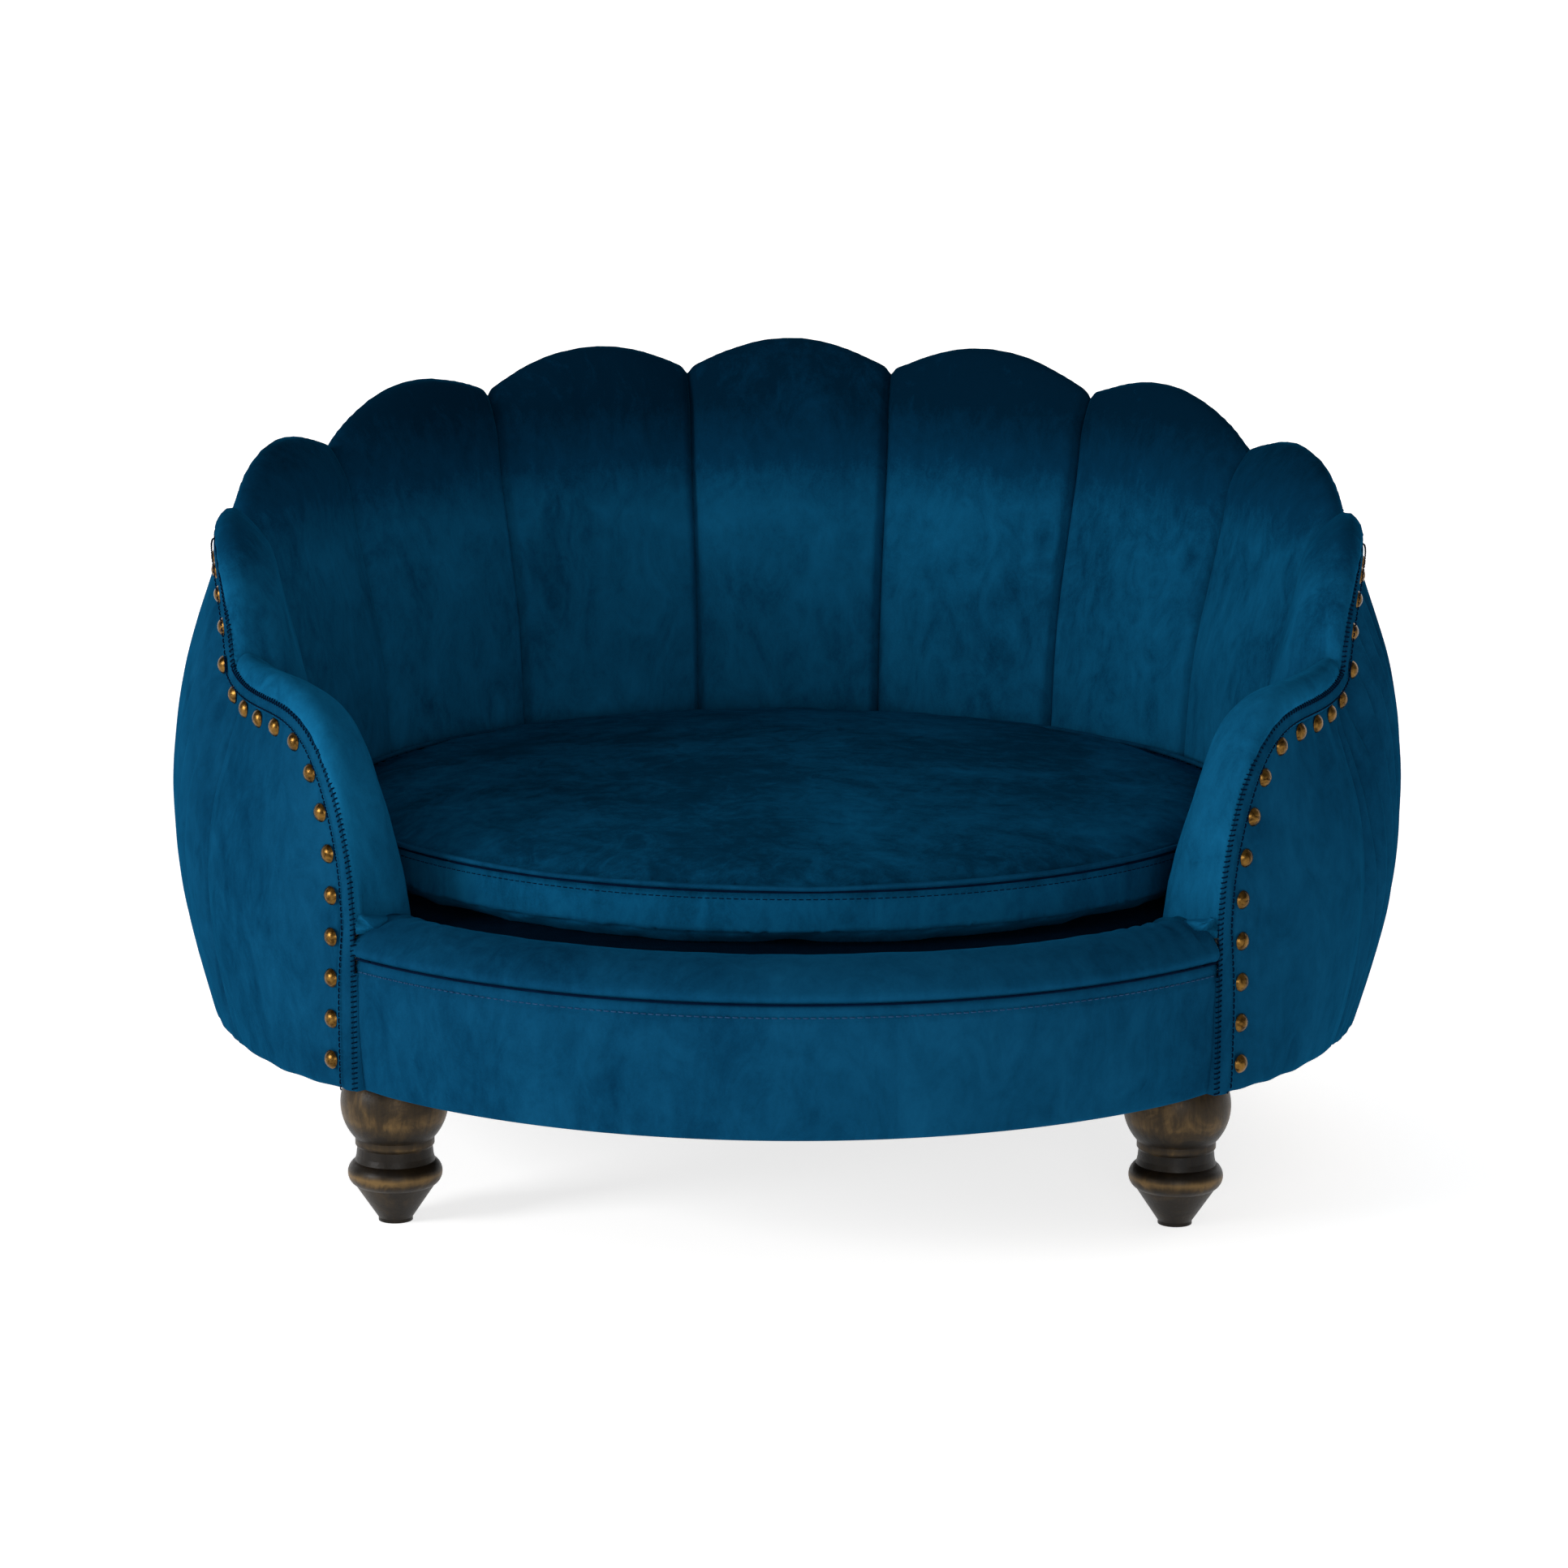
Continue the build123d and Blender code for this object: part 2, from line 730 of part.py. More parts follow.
# Cloth under the base, its holes for the bolts, and the staples that hold it
with BuildPart() as dust_cover:
    add(make_plate(dust_cover_radius, rail_end_radius - dust_cover_rail_inset,
                   rail_front_radius - dust_cover_rail_inset, foot_top, dust_cover_thickness))
    with Locations(*at_feet(foot_top)):
        Hole(bolt_radius + rest_gap)
finish(dust_cover.part, "dust_cover")

with BuildPart() as staples:
    with BuildSketch(ring_plane(foot_top)):
        with PolarLocations(staple_radius, staple_count, start_angle=staple_first_angle):
            Rectangle(staple_wire, staple_width)
    extrude(amount=-staple_wire)
    with BuildSketch(ring_plane(foot_top)):
        with PolarLocations(staple_radius, staple_count, start_angle=staple_first_angle):
            with Locations((0, (staple_width - staple_wire) / 2), (0, (staple_wire - staple_width) / 2)):
                Rectangle(staple_wire, staple_wire)
    extrude(amount=staple_leg)
finish(staples.part, "staples")

# Blocks between the base and the deck
with BuildPart() as deck_blocks:
    with BuildSketch(ring_plane(base_top)):
        with PolarLocations(block_radius, block_count, start_angle=block_first_angle):
            Rectangle(block_size, block_size)
    extrude(amount=deck_bottom - base_top)
finish(deck_blocks.part, "deck_blocks")

# Deck board, deck foam and deck cloth
rail_board_inner = rail_front_radius - rail_pad_depth - rail_board_thickness
deck_radius = board_radius(deck_bottom) - rest_gap
finish(make_plate(deck_radius, deck_radius, rail_board_inner - rest_gap, deck_bottom,
                  deck_board_thickness), "deck_board")
deck_pad_radius = petal_seat_radius - petal_swell - rest_gap
deck_pad_front = rail_roll_inner_radius - rest_gap
finish(make_plate(deck_pad_radius, deck_pad_radius, deck_pad_front, deck_top,
                  deck_foam_thickness), "deck_foam")
finish(make_plate(deck_pad_radius, deck_pad_radius, deck_pad_front,
                  deck_top + deck_foam_thickness, deck_cover_thickness), "deck_cover")

# Rail board, padded rail face and padded rail roll
with BuildPart() as rail_board:
    with BuildSketch(ring_plane(base_top)):
        end = outward(rail_end_angle) * (rail_end_radius - rail_pad_depth - rest_gap)
        inner_end = outward(rail_end_angle) * (rail_end_radius - rail_pad_depth - rail_board_thickness)
        reach = rail_front_radius - rail_pad_depth - rest_gap
        with BuildLine():
            ThreePointArc((-end.X, end.Y), (0, -reach), (end.X, end.Y))
            Line((end.X, end.Y), (inner_end.X, inner_end.Y))
            ThreePointArc((inner_end.X, inner_end.Y), (0, -rail_board_inner),
                          (-inner_end.X, inner_end.Y))
            Line((-inner_end.X, inner_end.Y), (-end.X, end.Y))
        make_face()
    extrude(amount=deck_top - base_top)
finish(rail_board.part, "front_rail_board")
rail_turns = spread(rail_end_angle, 360 - rail_end_angle,
                    [step / rail_loft_steps for step in range(rail_loft_steps + 1)])
for name, draw in (("front_rail_face", draw_rail_face), ("front_rail_roll", draw_rail_roll)):
    finish(loft_along(rail_turns, draw), name)


# Loose cushion: foam, top and bottom panels, side wall and zip
side_inner_radius = cushion_radius - zip_depth
foam_radius = side_inner_radius - lay_gap
crown_top = cushion_top_seam_height + cushion_crown
half_radius = cushion_radius / 2
side_top = cushion_top_seam_height - skin
dome_radius = (cushion_radius**2 + cushion_crown**2) / (2 * cushion_crown)
under_radius = (cushion_flat_radius + cushion_radius) / 2
under_height = cushion_bottom + cushion_lower_seam * under_bulge_share


def dome_height(radius):
    """Height of the cushion's crowned top at a radius."""
    return crown_top - dome_radius + sqrt(dome_radius**2 - radius**2)


finish(turned((0, crown_top), [
    ((half_radius, dome_height(half_radius)), (cushion_radius, cushion_top_seam_height)),
    (cushion_radius, side_top),
    ((half_radius, dome_height(half_radius) - skin), (0, crown_top - skin)),
]), "cushion_top_panel")
finish(turned((0, cushion_bottom), [
    (cushion_flat_radius, cushion_bottom),
    ((under_radius, under_height), (cushion_radius, cushion_low_seam_height)),
    (cushion_radius - skin, cushion_low_seam_height),
    ((under_radius - skin, under_height + skin), (cushion_flat_radius, cushion_bottom + skin)),
    (0, cushion_bottom + skin),
]), "cushion_bottom_panel")
foam_lift = skin + lay_gap
finish(turned((0, crown_top - foam_lift), [
    ((half_radius, dome_height(half_radius) - foam_lift),
     (foam_radius, dome_height(foam_radius) - foam_lift)),
    (foam_radius, cushion_low_seam_height),
    ((under_radius - foam_lift, under_height + foam_lift),
     (cushion_flat_radius, cushion_bottom + foam_lift)),
    (0, cushion_bottom + foam_lift),
]), "cushion_foam")

# Side wall: one crowned band in front, two narrow bands above and below the zip behind
zip_middle_height = cushion_low_seam_height + cushion_boxing_height / 2
zip_low = zip_middle_height - zip_band_height / 2
zip_high = zip_middle_height + zip_band_height / 2
side_edge = cushion_radius - skin
front_sweep = 360 - 2 * zip_half_angle
with BuildPart() as cushion_side:
    add(turned((side_inner_radius, cushion_low_seam_height), [
        (side_edge, cushion_low_seam_height),
        ((side_edge + cushion_boxing_crown, zip_middle_height), (side_edge, side_top)),
        (side_inner_radius, side_top),
    ], front_sweep, zip_half_angle))
    for low, high in ((cushion_low_seam_height, zip_low), (zip_high, side_top)):
        add(turned((side_inner_radius, low), [
            (side_edge, low), (side_edge, high), (side_inner_radius, high),
        ], 2 * zip_half_angle, -zip_half_angle))
finish(cushion_side.part, "cushion_side_band")

tape_face = side_inner_radius + zip_tape_thickness
teeth_face = tape_face + zip_teeth_thickness
finish(turned((side_inner_radius, zip_low), [
    (tape_face, zip_low), (tape_face, zip_high), (side_inner_radius, zip_high),
], 2 * zip_half_angle, -zip_half_angle), "zip_tape")
finish(turned((tape_face, zip_middle_height - zip_teeth_width / 2), [
    (teeth_face, zip_middle_height - zip_teeth_width / 2),
    (teeth_face, zip_middle_height + zip_teeth_width / 2),
    (tape_face, zip_middle_height + zip_teeth_width / 2),
], 2 * zip_half_angle, -zip_half_angle), "zip_teeth")

# Zip slider with two lugs, and its pull on a pin between them
slider_out = outward(slider_angle)
slider_along = Vector(-slider_out.Y, slider_out.X, 0)
slider_base = slider_out * (teeth_face + rest_gap) + Vector(0, ring_y, zip_middle_height)
lug_height = 2 * pin_rise
lug_place = pull_width / 2 + pull_side_gap + lug_thickness / 2
with BuildPart() as zip_slider:
    with BuildSketch(Plane(origin=slider_base, x_dir=slider_along, z_dir=slider_out)):
        RectangleRounded(slider_length, slider_width, slider_corner_radius)
    extrude(amount=slider_thickness)
    with BuildSketch(Plane(origin=slider_base + slider_out * slider_thickness,
                           x_dir=slider_along, z_dir=slider_out)):
        with Locations((0, lug_place), (0, -lug_place)):
            Rectangle(lug_length, lug_thickness)
    extrude(amount=lug_height)
    pin_middle = slider_base + slider_out * (slider_thickness + pin_rise)
    with BuildSketch(Plane(origin=pin_middle, x_dir=slider_along, z_dir=(0, 0, 1))):
        Circle(pull_pin_radius + pin_clearance)
    extrude(amount=slider_width, both=True, mode=Mode.SUBTRACT)
finish(zip_slider.part, "zip_slider")

with BuildPart() as zip_pull:
    with BuildSketch(Plane(origin=pin_middle, x_dir=slider_along, z_dir=(0, 0, 1))):
        Circle(pull_pin_radius)
    extrude(amount=lug_place, both=True)
    with BuildSketch(Plane(origin=pin_middle - slider_out * pull_thickness / 2,
                           x_dir=slider_along, z_dir=slider_out)):
        with Locations((pull_length / 2, 0)):
            Rectangle(pull_length, pull_width)
    extrude(amount=pull_thickness)
    with BuildSketch(Plane(origin=pin_middle, x_dir=slider_along, z_dir=slider_out)):
        with Locations((pull_length - pull_width / 2, 0)):
            Circle(pull_hole_radius)
    extrude(amount=pull_thickness, both=True, mode=Mode.SUBTRACT)
finish(zip_pull.part, "zip_pull")

# Turned feet, their hanger bolts and the tee nuts in the base board
for name, place in foot_places().items():
    finish(make_foot(place), f"{name}_foot")

bolt_top = base_top - tee_flange_thickness
with BuildPart() as hanger_bolts:
    with BuildSketch(Plane.XY.offset(foot_top - bolt_foot_length)):
        with Locations(*at_feet(0)):
            Circle(bolt_radius)
    extrude(amount=bolt_top - foot_top + bolt_foot_length)
finish(hanger_bolts.part, "hanger_bolts")

with BuildPart() as tee_nuts:
    with BuildSketch(Plane.XY.offset(underside_height + tee_clearance)):
        with Locations(*at_feet(0)):
            Circle(tee_barrel_radius)
            Circle(bolt_radius, mode=Mode.SUBTRACT)
    extrude(amount=base_board_thickness - tee_clearance)
    with BuildSketch(Plane.XY.offset(base_top - tee_flange_thickness)):
        with Locations(*at_feet(0)):
            Circle(tee_flange_radius)
            Circle(bolt_radius, mode=Mode.SUBTRACT)
    extrude(amount=tee_flange_thickness)
finish(tee_nuts.part, "tee_nuts")


# Dome nails along the rim and down the arms' fronts
def nail_line():
    """Right half of the nails' line, from the arm's hem up and round to the middle of the back."""
    inset = strip_width + nail_head_radius + nail_side_gap
    end = arm_end_angle - degrees(inset / seam_radius)
    line = [(end, underside_height + nail_lowest_rise)]
    for step in range(nail_line_steps + 1):
        angle = end * (1 - step / nail_line_steps)
        line.append((angle, inset_height(angle, inset)))
    return line


def even_places(line, pitch):
    """Evenly spaced places along a line of plan angles and heights, about a pitch apart."""
    runs = [hypot(seam_radius * radians(b[0] - a[0]), b[1] - a[1]) for a, b in zip(line, line[1:])]
    total = sum(runs)
    count = round(total / pitch)
    places, walked, index = [], 0, 0
    for number in range(count):
        goal = total * number / count
        while walked + runs[index] < goal:
            walked += runs[index]
            index += 1
        share = (goal - walked) / runs[index]
        places.append(tuple(between(line[index][axis], line[index + 1][axis], share)
                            for axis in range(2)))
    return places


def cover_radius(angle, height):
    """Outer radius of the cover at a height, between its nailed edge and its hem."""
    edge, nailed, upper, fullest, lower, foot, hem = cover_curve(angle)
    if height > nailed[1]:
        return between(nailed[0], edge[0], min((height - nailed[1]) / nail_margin, 1))
    if height > fullest[1]:
        return arc_radius(nailed, upper, fullest, height)
    return arc_radius(fullest, lower, foot, height)


def nail_location(angle, height):
    """Where a nail sits: its head on the cover, its shank pointing inward."""
    out = outward(angle)
    middle = out * (cover_radius(angle, height) - nail_sink) + Vector(0, ring_y, height)
    return Plane(origin=middle, z_dir=out).location


nail_sphere = (nail_head_radius**2 + nail_head_height**2) / (2 * nail_head_height)
nail_shoulder = nail_head_radius * nail_round_share
nail_shoulder_height = nail_head_height - nail_sphere + sqrt(nail_sphere**2 - nail_shoulder**2)
with BuildPart() as nail:
    with BuildSketch(Plane.XZ):
        closed_face((0, -nail_shank_length), [
            (nail_shank_radius, -nail_shank_length),
            (nail_shank_radius, 0),
            (nail_head_radius, 0),
            ((nail_shoulder, nail_shoulder_height), (0, nail_head_height)),
        ])
    revolve(axis=Axis.Z)

right_places = even_places(nail_line(), nail_pitch)
nail_groups = {
    "nails_right": [place for place in right_places if place[0] > panel_seam_angle],
    "nails_left": [(-place[0], place[1]) for place in right_places if place[0] > panel_seam_angle],
    "nails_back": [(sign * place[0], place[1]) for place in right_places
                   if place[0] <= panel_seam_angle for sign in (1, -1)],
}
nail_groups["nails_back"].append((0, nail_line()[-1][1]))
for name, places in nail_groups.items():
    with BuildPart() as nails:
        with Locations(*[nail_location(*place) for place in places]):
            add(nail.part)
    finish(nails.part, name)
print("nails", {name: len(places) for name, places in nail_groups.items()})
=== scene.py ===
"""Looks of the round velvet pet sofa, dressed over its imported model.

Plan angles are in degrees from the middle of the back, positive to the right as one faces the
sofa. Lengths are in millimetres until a mesh is made.
"""
import json
from math import atan2, ceil, cos, degrees, exp, hypot, pi, radians, sin, sqrt

import bmesh
import bpy
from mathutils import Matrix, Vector, noise


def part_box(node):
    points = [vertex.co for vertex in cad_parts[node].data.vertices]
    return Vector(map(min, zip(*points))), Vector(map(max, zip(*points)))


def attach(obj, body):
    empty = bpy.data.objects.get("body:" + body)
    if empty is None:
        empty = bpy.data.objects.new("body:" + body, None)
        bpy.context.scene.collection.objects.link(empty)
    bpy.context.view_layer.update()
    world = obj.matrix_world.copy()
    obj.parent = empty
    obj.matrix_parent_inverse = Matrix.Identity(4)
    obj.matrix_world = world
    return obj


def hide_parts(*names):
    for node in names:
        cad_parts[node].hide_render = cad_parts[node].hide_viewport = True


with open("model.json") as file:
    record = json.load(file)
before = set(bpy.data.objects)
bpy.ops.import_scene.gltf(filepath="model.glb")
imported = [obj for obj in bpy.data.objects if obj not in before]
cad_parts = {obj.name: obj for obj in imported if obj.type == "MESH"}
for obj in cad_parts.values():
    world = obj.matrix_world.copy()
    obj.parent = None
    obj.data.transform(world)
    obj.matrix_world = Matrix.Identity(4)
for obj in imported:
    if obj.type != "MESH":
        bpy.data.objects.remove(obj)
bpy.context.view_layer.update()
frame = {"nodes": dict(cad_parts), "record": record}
MM = 0.001


def reach(node, end, axis):
    """One coordinate of a CAD node's box, in millimetres: end 0 is low, end 1 high."""
    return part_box(node)[end][axis] / MM


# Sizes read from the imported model, and two rises that place the rail's seam and top
RAIL_SEAM_RISE = 10.7
RAIL_RISE = 31
DECK_TOP = reach("deck_board", 1, 2)
BASE_TOP = reach("base_board", 1, 2)
UNDERSIDE = reach("outer_cover_back", 0, 2)
RIM_TOP = reach("middle_petal", 1, 2)
SEAM_RADIUS = reach("right_petal_4", 1, 0)
BULGE_RADIUS = reach("outer_cover_back", 1, 0)
RING_Y = (reach("cushion_top_panel", 0, 1) + reach("cushion_top_panel", 1, 1)) / 2
CUSHION_RADIUS = reach("cushion_top_panel", 1, 0)
CUSHION_BOTTOM = reach("cushion_bottom_panel", 0, 2)
CUSHION_LOW_SEAM = reach("cushion_bottom_panel", 1, 2)
CUSHION_TOP = reach("cushion_top_panel", 1, 2)
ZIP_LOW, ZIP_HIGH = reach("zip_tape", 0, 2), reach("zip_tape", 1, 2)
RAIL_SEAM = reach("front_rail_roll", 0, 2) + RAIL_SEAM_RISE
RAIL_FRONT = RING_Y - reach("front_rail_face", 0, 1)
RAIL_TOP = DECK_TOP + RAIL_RISE
WALL_HEIGHT = RIM_TOP - DECK_TOP

# Fluted wall: counts, plan angles and shares of the wall's height, as the model has them
MIDDLE_PETAL_ANGLE = 23.4
SIDE_PETAL_ANGLE = 24.4
SIDE_PETALS = 5
ARM_END = 134.6
STRIP_WIDTH = 8.5
CREST_RADIUS = 336
CREST_DROP = 9
SEAT_RADIUS = 291
PETAL_LEAN = 28
ARM_END_ROLL = 9
SEAM_SHARES = (0.942, 0.942, 0.912, 0.835, 0.745, 0.552, 0.137)
RISE_SHARES = (0.058, 0.06, 0.062, 0.068, 0.13, 0.235)
FAN_SKEW_SHARES = (1.0, 1.0, 1.0, 1.1, 1.45, 2.4)
FAN_ROUND_SHARES = (1.0, 1.0, 1.0, 0.9, 0.6, 0.5)
BOARD_RADIUS = 308
BOARD_TOP_RADIUS = 334.4
BOARD_THICKNESS = 9
BOARD_PADDING = 18

# Outer cover
COVER_TOP_RADIUS = 346
COVER_NAIL_RADIUS = 347.5
COVER_FRONT_RADIUS = 350
FOOT_RADIUS = 352
HEM_RADIUS = 345
COVER_THICKNESS = 3
NAIL_MARGIN = 11
HEM_RISE = 4
PANEL_SEAM = 111.5
SWELL_START = 100


def between(start, end, share):
    """Value at a share of the way from start to end."""
    return start + (end - start) * share


def clamp(value, low=0.0, high=1.0):
    """Value kept between two limits."""
    return max(low, min(high, value))


def ease(low, high, value):
    """Smooth step from 0 at low to 1 at high."""
    share = clamp((value - low) / (high - low))
    return share * share * (3 - 2 * share)


def bump(distance, width):
    """Bell-shaped 1 at no distance, near 0 past twice the width."""
    return exp(-(distance / width) ** 2)


def place(angle, radius, height):
    """Point in metres at a plan angle, radius and height."""
    turn = radians(angle)
    return Vector((radius * sin(turn), RING_Y + radius * cos(turn), height)) * MM


def outward_at(angle):
    """Level direction away from the ring's middle at a plan angle."""
    turn = radians(angle)
    return Vector((sin(turn), cos(turn), 0))


def soft_noise(angle, height, size, seed=0):
    """Smooth noise over the wall with features of about a size in millimetres."""
    turn = radians(angle)
    return noise.noise(Vector((SEAM_RADIUS * sin(turn), SEAM_RADIUS * cos(turn), height)) / size
                       + Vector((seed * 7.3, seed * 3.1, seed * 5.7)))


def petal_span(number):
    """Plan angles of a petal's two seams, on the right side."""
    half = MIDDLE_PETAL_ANGLE / 2
    if number == 0:
        return -half, half
    low = half + SIDE_PETAL_ANGLE * (number - 1)
    return low, low + SIDE_PETAL_ANGLE if number < SIDE_PETALS else ARM_END


def rim_height(angle):
    """Height of the scalloped rim."""
    turn = min(abs(angle), ARM_END)
    number = 0
    while number < SIDE_PETALS and turn > petal_span(number)[1]:
        number += 1
    low, high = petal_span(number)
    share = clamp((turn - low) / (high - low))
    chord = between(SEAM_SHARES[number], SEAM_SHARES[number + 1], share)
    fan = sin(pi * share ** FAN_SKEW_SHARES[number]) if 0 < share < 1 else 0
    return DECK_TOP + WALL_HEIGHT * (chord + RISE_SHARES[number] * fan ** FAN_ROUND_SHARES[number])


def inset_height(angle, inset):
    """Height of the line that runs at an even distance under the stitched seam."""
    around = degrees(inset / SEAM_RADIUS)
    steps = 12
    heights = []
    for step in range(-steps, steps + 1):
        turn = around * step / steps
        drop = sqrt(max(inset**2 - (SEAM_RADIUS * radians(turn)) ** 2, 0))
        heights.append(rim_height(angle + turn) - CREST_DROP - drop)
    return min(heights)


def edge_end(inset):
    """Plan angle where a line at an inset from the seam turns down the arm's front."""
    return ARM_END - degrees(inset / SEAM_RADIUS)


def spread_along(points, runs, count):
    """Points evenly spaced along a line of legs, given each leg's length."""
    total = sum(runs)
    line, walked, index = [], 0, 0
    for number in range(count):
        goal = total * number / (count - 1)
        while index < len(runs) - 1 and walked + runs[index] < goal:
            walked += runs[index]
            index += 1
        share = clamp((goal - walked) / runs[index]) if runs[index] else 0
        line.append(tuple(between(p, q, share) for p, q in zip(points[index], points[index + 1])))
    return line


def smooth_line(points, count):
    """Points evenly spaced along a smooth curve through the given ones."""
    dense = []
    ends = [points[0], *points, points[-1]]
    steps = 12
    for a, b, c, d in zip(ends, ends[1:], ends[2:], ends[3:]):
        for step in range(steps):
            t = step / steps
            dense.append(tuple(
                0.5 * (2 * q + (r - p) * t + (2 * p - 5 * q + 4 * r - s) * t**2
                       + (3 * q - p - 3 * r + s) * t**3)
                for p, q, r, s in zip(a, b, c, d)))
    dense.append(points[-1])
    runs = [hypot(*(q - p for p, q in zip(a, b))) for a, b in zip(dense, dense[1:])]
    return spread_along(dense, runs, count)


def push(line, amounts):
    """A section line moved along its normals, which point to the left of its run."""
    moved = []
    for index, (radius, height) in enumerate(line):
        before, after = line[max(index - 1, 0)], line[min(index + 1, len(line) - 1)]
        along, up = after[0] - before[0], after[1] - before[1]
        size = hypot(along, up) or 1
        moved.append((radius - up / size * amounts[index], height + along / size * amounts[index]))
    return moved


def in_scene(name, data):
    """New object of some data, linked to the scene."""
    made = bpy.data.objects.new(name, data)
    bpy.context.scene.collection.objects.link(made)
    return made


def shade_smooth(mesh):
    """Smooth shading on every face."""
    for face in mesh.polygons:
        face.use_smooth = True


def new_object(mesh, look, body="root"):
    """Object of a finished mesh, smooth, with its material and body."""
    shade_smooth(mesh)
    piece = in_scene(mesh.name, mesh)
    mesh.materials.append(MATERIALS[look])
    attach(piece, body)
    return piece


def ring_faces(start, rings, closed=False):
    """Faces through rings whose points begin at an index, capped at both ends unless closed."""
    total, count = len(rings), len(rings[0])
    faces = []
    for row in range(total if closed else total - 1):
        here, there = start + row * count, start + (row + 1) % total * count
        for index in range(count):
            follow = (index + 1) % count
            faces.append((here + index, here + follow, there + follow, there + index))
    if not closed:
        faces.append(tuple(start + index for index in reversed(range(count))))
        faces.append(tuple(start + (total - 1) * count + index for index in range(count)))
    return faces


def ring_mesh(name, rings, closed=False):
    """Closed mesh through rings of equally many points."""
    mesh = bpy.data.meshes.new(name)
    mesh.from_pydata([point for ring in rings for point in ring], [],
                     ring_faces(0, rings, closed))
    fix = bmesh.new()
    fix.from_mesh(mesh)
    bmesh.ops.recalc_face_normals(fix, faces=fix.faces)
    fix.to_mesh(mesh)
    fix.free()
    return mesh


def tube_points(points, radius, sides=6):
    """Rings round a line of points, for a thin tube."""
    rings = []
    for index, point in enumerate(points):
        along = (points[min(index + 1, len(points) - 1)] - points[max(index - 1, 0)]).normalized()
        across = along.orthogonal().normalized()
        third = along.cross(across)
        rings.append([point + (across * cos(2 * pi * side / sides)
                               + third * sin(2 * pi * side / sides)) * radius
                      for side in range(sides)])
    return rings


def join_rings(name, groups):
    """One mesh of many small capped tubes."""
    mesh = bpy.data.meshes.new(name)
    vertices, faces = [], []
    for rings in groups:
        faces.extend(ring_faces(len(vertices), rings))
        vertices.extend(point for ring in rings for point in ring)
    mesh.from_pydata(vertices, [], faces)
    return mesh


def arc_stitch(angle, half_turn, radius_at, lift, height, thickness):
    """Rings of one thread stitch that runs level along an arc and rises in its middle."""
    points = []
    for part in (-1, -0.4, 0.4, 1):
        here = angle + part * half_turn
        points.append(place(here, radius_at(here) + lift * (1 - part * part), height))
    return tube_points(points, thickness * MM, 5)


# Materials
def new_material(name):
    """Material with an empty node tree but for its shader and output."""
    material = bpy.data.materials.new(name)
    material.use_nodes = True
    return material, material.node_tree, material.node_tree.nodes["Principled BSDF"]


def add_node(tree, kind, settings=None, **inputs):
    """Node of a kind, with its settings and its sockets' values or links."""
    made = tree.nodes.new(kind)
    for key, value in (settings or {}).items():
        setattr(made, key, value)
    for key, value in inputs.items():
        socket = made.inputs[key.replace("_", " ")]
        if isinstance(value, bpy.types.NodeSocket):
            tree.links.new(value, socket)
        else:
            socket.default_value = value
    return made


def ramp(tree, factor, stops):
    """Colour ramp through (place, colour) stops."""
    made = tree.nodes.new("ShaderNodeValToRGB")
    tree.links.new(factor, made.inputs["Fac"])
    elements = made.color_ramp.elements
    for extra in range(len(stops) - 2):
        elements.new(0.5)
    for element, (where, colour) in zip(elements, stops):
        element.position = where
        element.color = (*colour, 1)
    return made.outputs["Color"]


def math_node(tree, operation, first, second):
    """Result of a math node on two values or sockets."""
    made = tree.nodes.new("ShaderNodeMath")
    made.operation = operation
    for socket, value in zip(made.inputs, (first, second)):
        if isinstance(value, bpy.types.NodeSocket):
            tree.links.new(value, socket)
        else:
            socket.default_value = value
    return made.outputs[0]


def noise_at(tree, where, scale, detail, roughness=0.5, distortion=0.0):
    """Factor of a noise texture."""
    return add_node(tree, "ShaderNodeTexNoise", Vector=where, Scale=scale, Detail=detail,
                    Roughness=roughness, Distortion=distortion).outputs["Fac"]


def object_spot(tree):
    """Place on the object."""
    return add_node(tree, "ShaderNodeTexCoord").outputs["Object"]


def height_of(tree, spot):
    """Upward part of a place."""
    return add_node(tree, "ShaderNodeSeparateXYZ", Vector=spot).outputs["Z"]


def mixed(tree, *parts):
    """Sum of several sockets, each times its weight."""
    total = None
    for socket, weight in parts:
        weighed = math_node(tree, "MULTIPLY", socket, weight)
        total = math_node(tree, "ADD", total, weighed) if total else weighed
    return total


def levelled(tree, socket, factor, offset):
    """A socket times a factor, plus an offset."""
    return math_node(tree, "ADD", math_node(tree, "MULTIPLY", socket, factor), offset)


def paint(tree, shader, colour, rough):
    """Link a colour and a roughness to a shader."""
    tree.links.new(colour, shader.inputs["Base Color"])
    tree.links.new(rough, shader.inputs["Roughness"])


def set_inputs(shader, **values):
    """Constants set directly on a shader's sockets."""
    for key, value in values.items():
        shader.inputs[key.replace("_", " ")].default_value = value


def bump_chain(tree, shader, layers):
    """Bump from several height sockets, each with its distance in metres."""
    normal = None
    for height, distance, strength in layers:
        made = add_node(tree, "ShaderNodeBump", Strength=strength, Distance=distance)
        tree.links.new(height, made.inputs["Height"])
        if normal:
            tree.links.new(normal, made.inputs["Normal"])
        normal = made.outputs["Normal"]
    tree.links.new(normal, shader.inputs["Normal"])


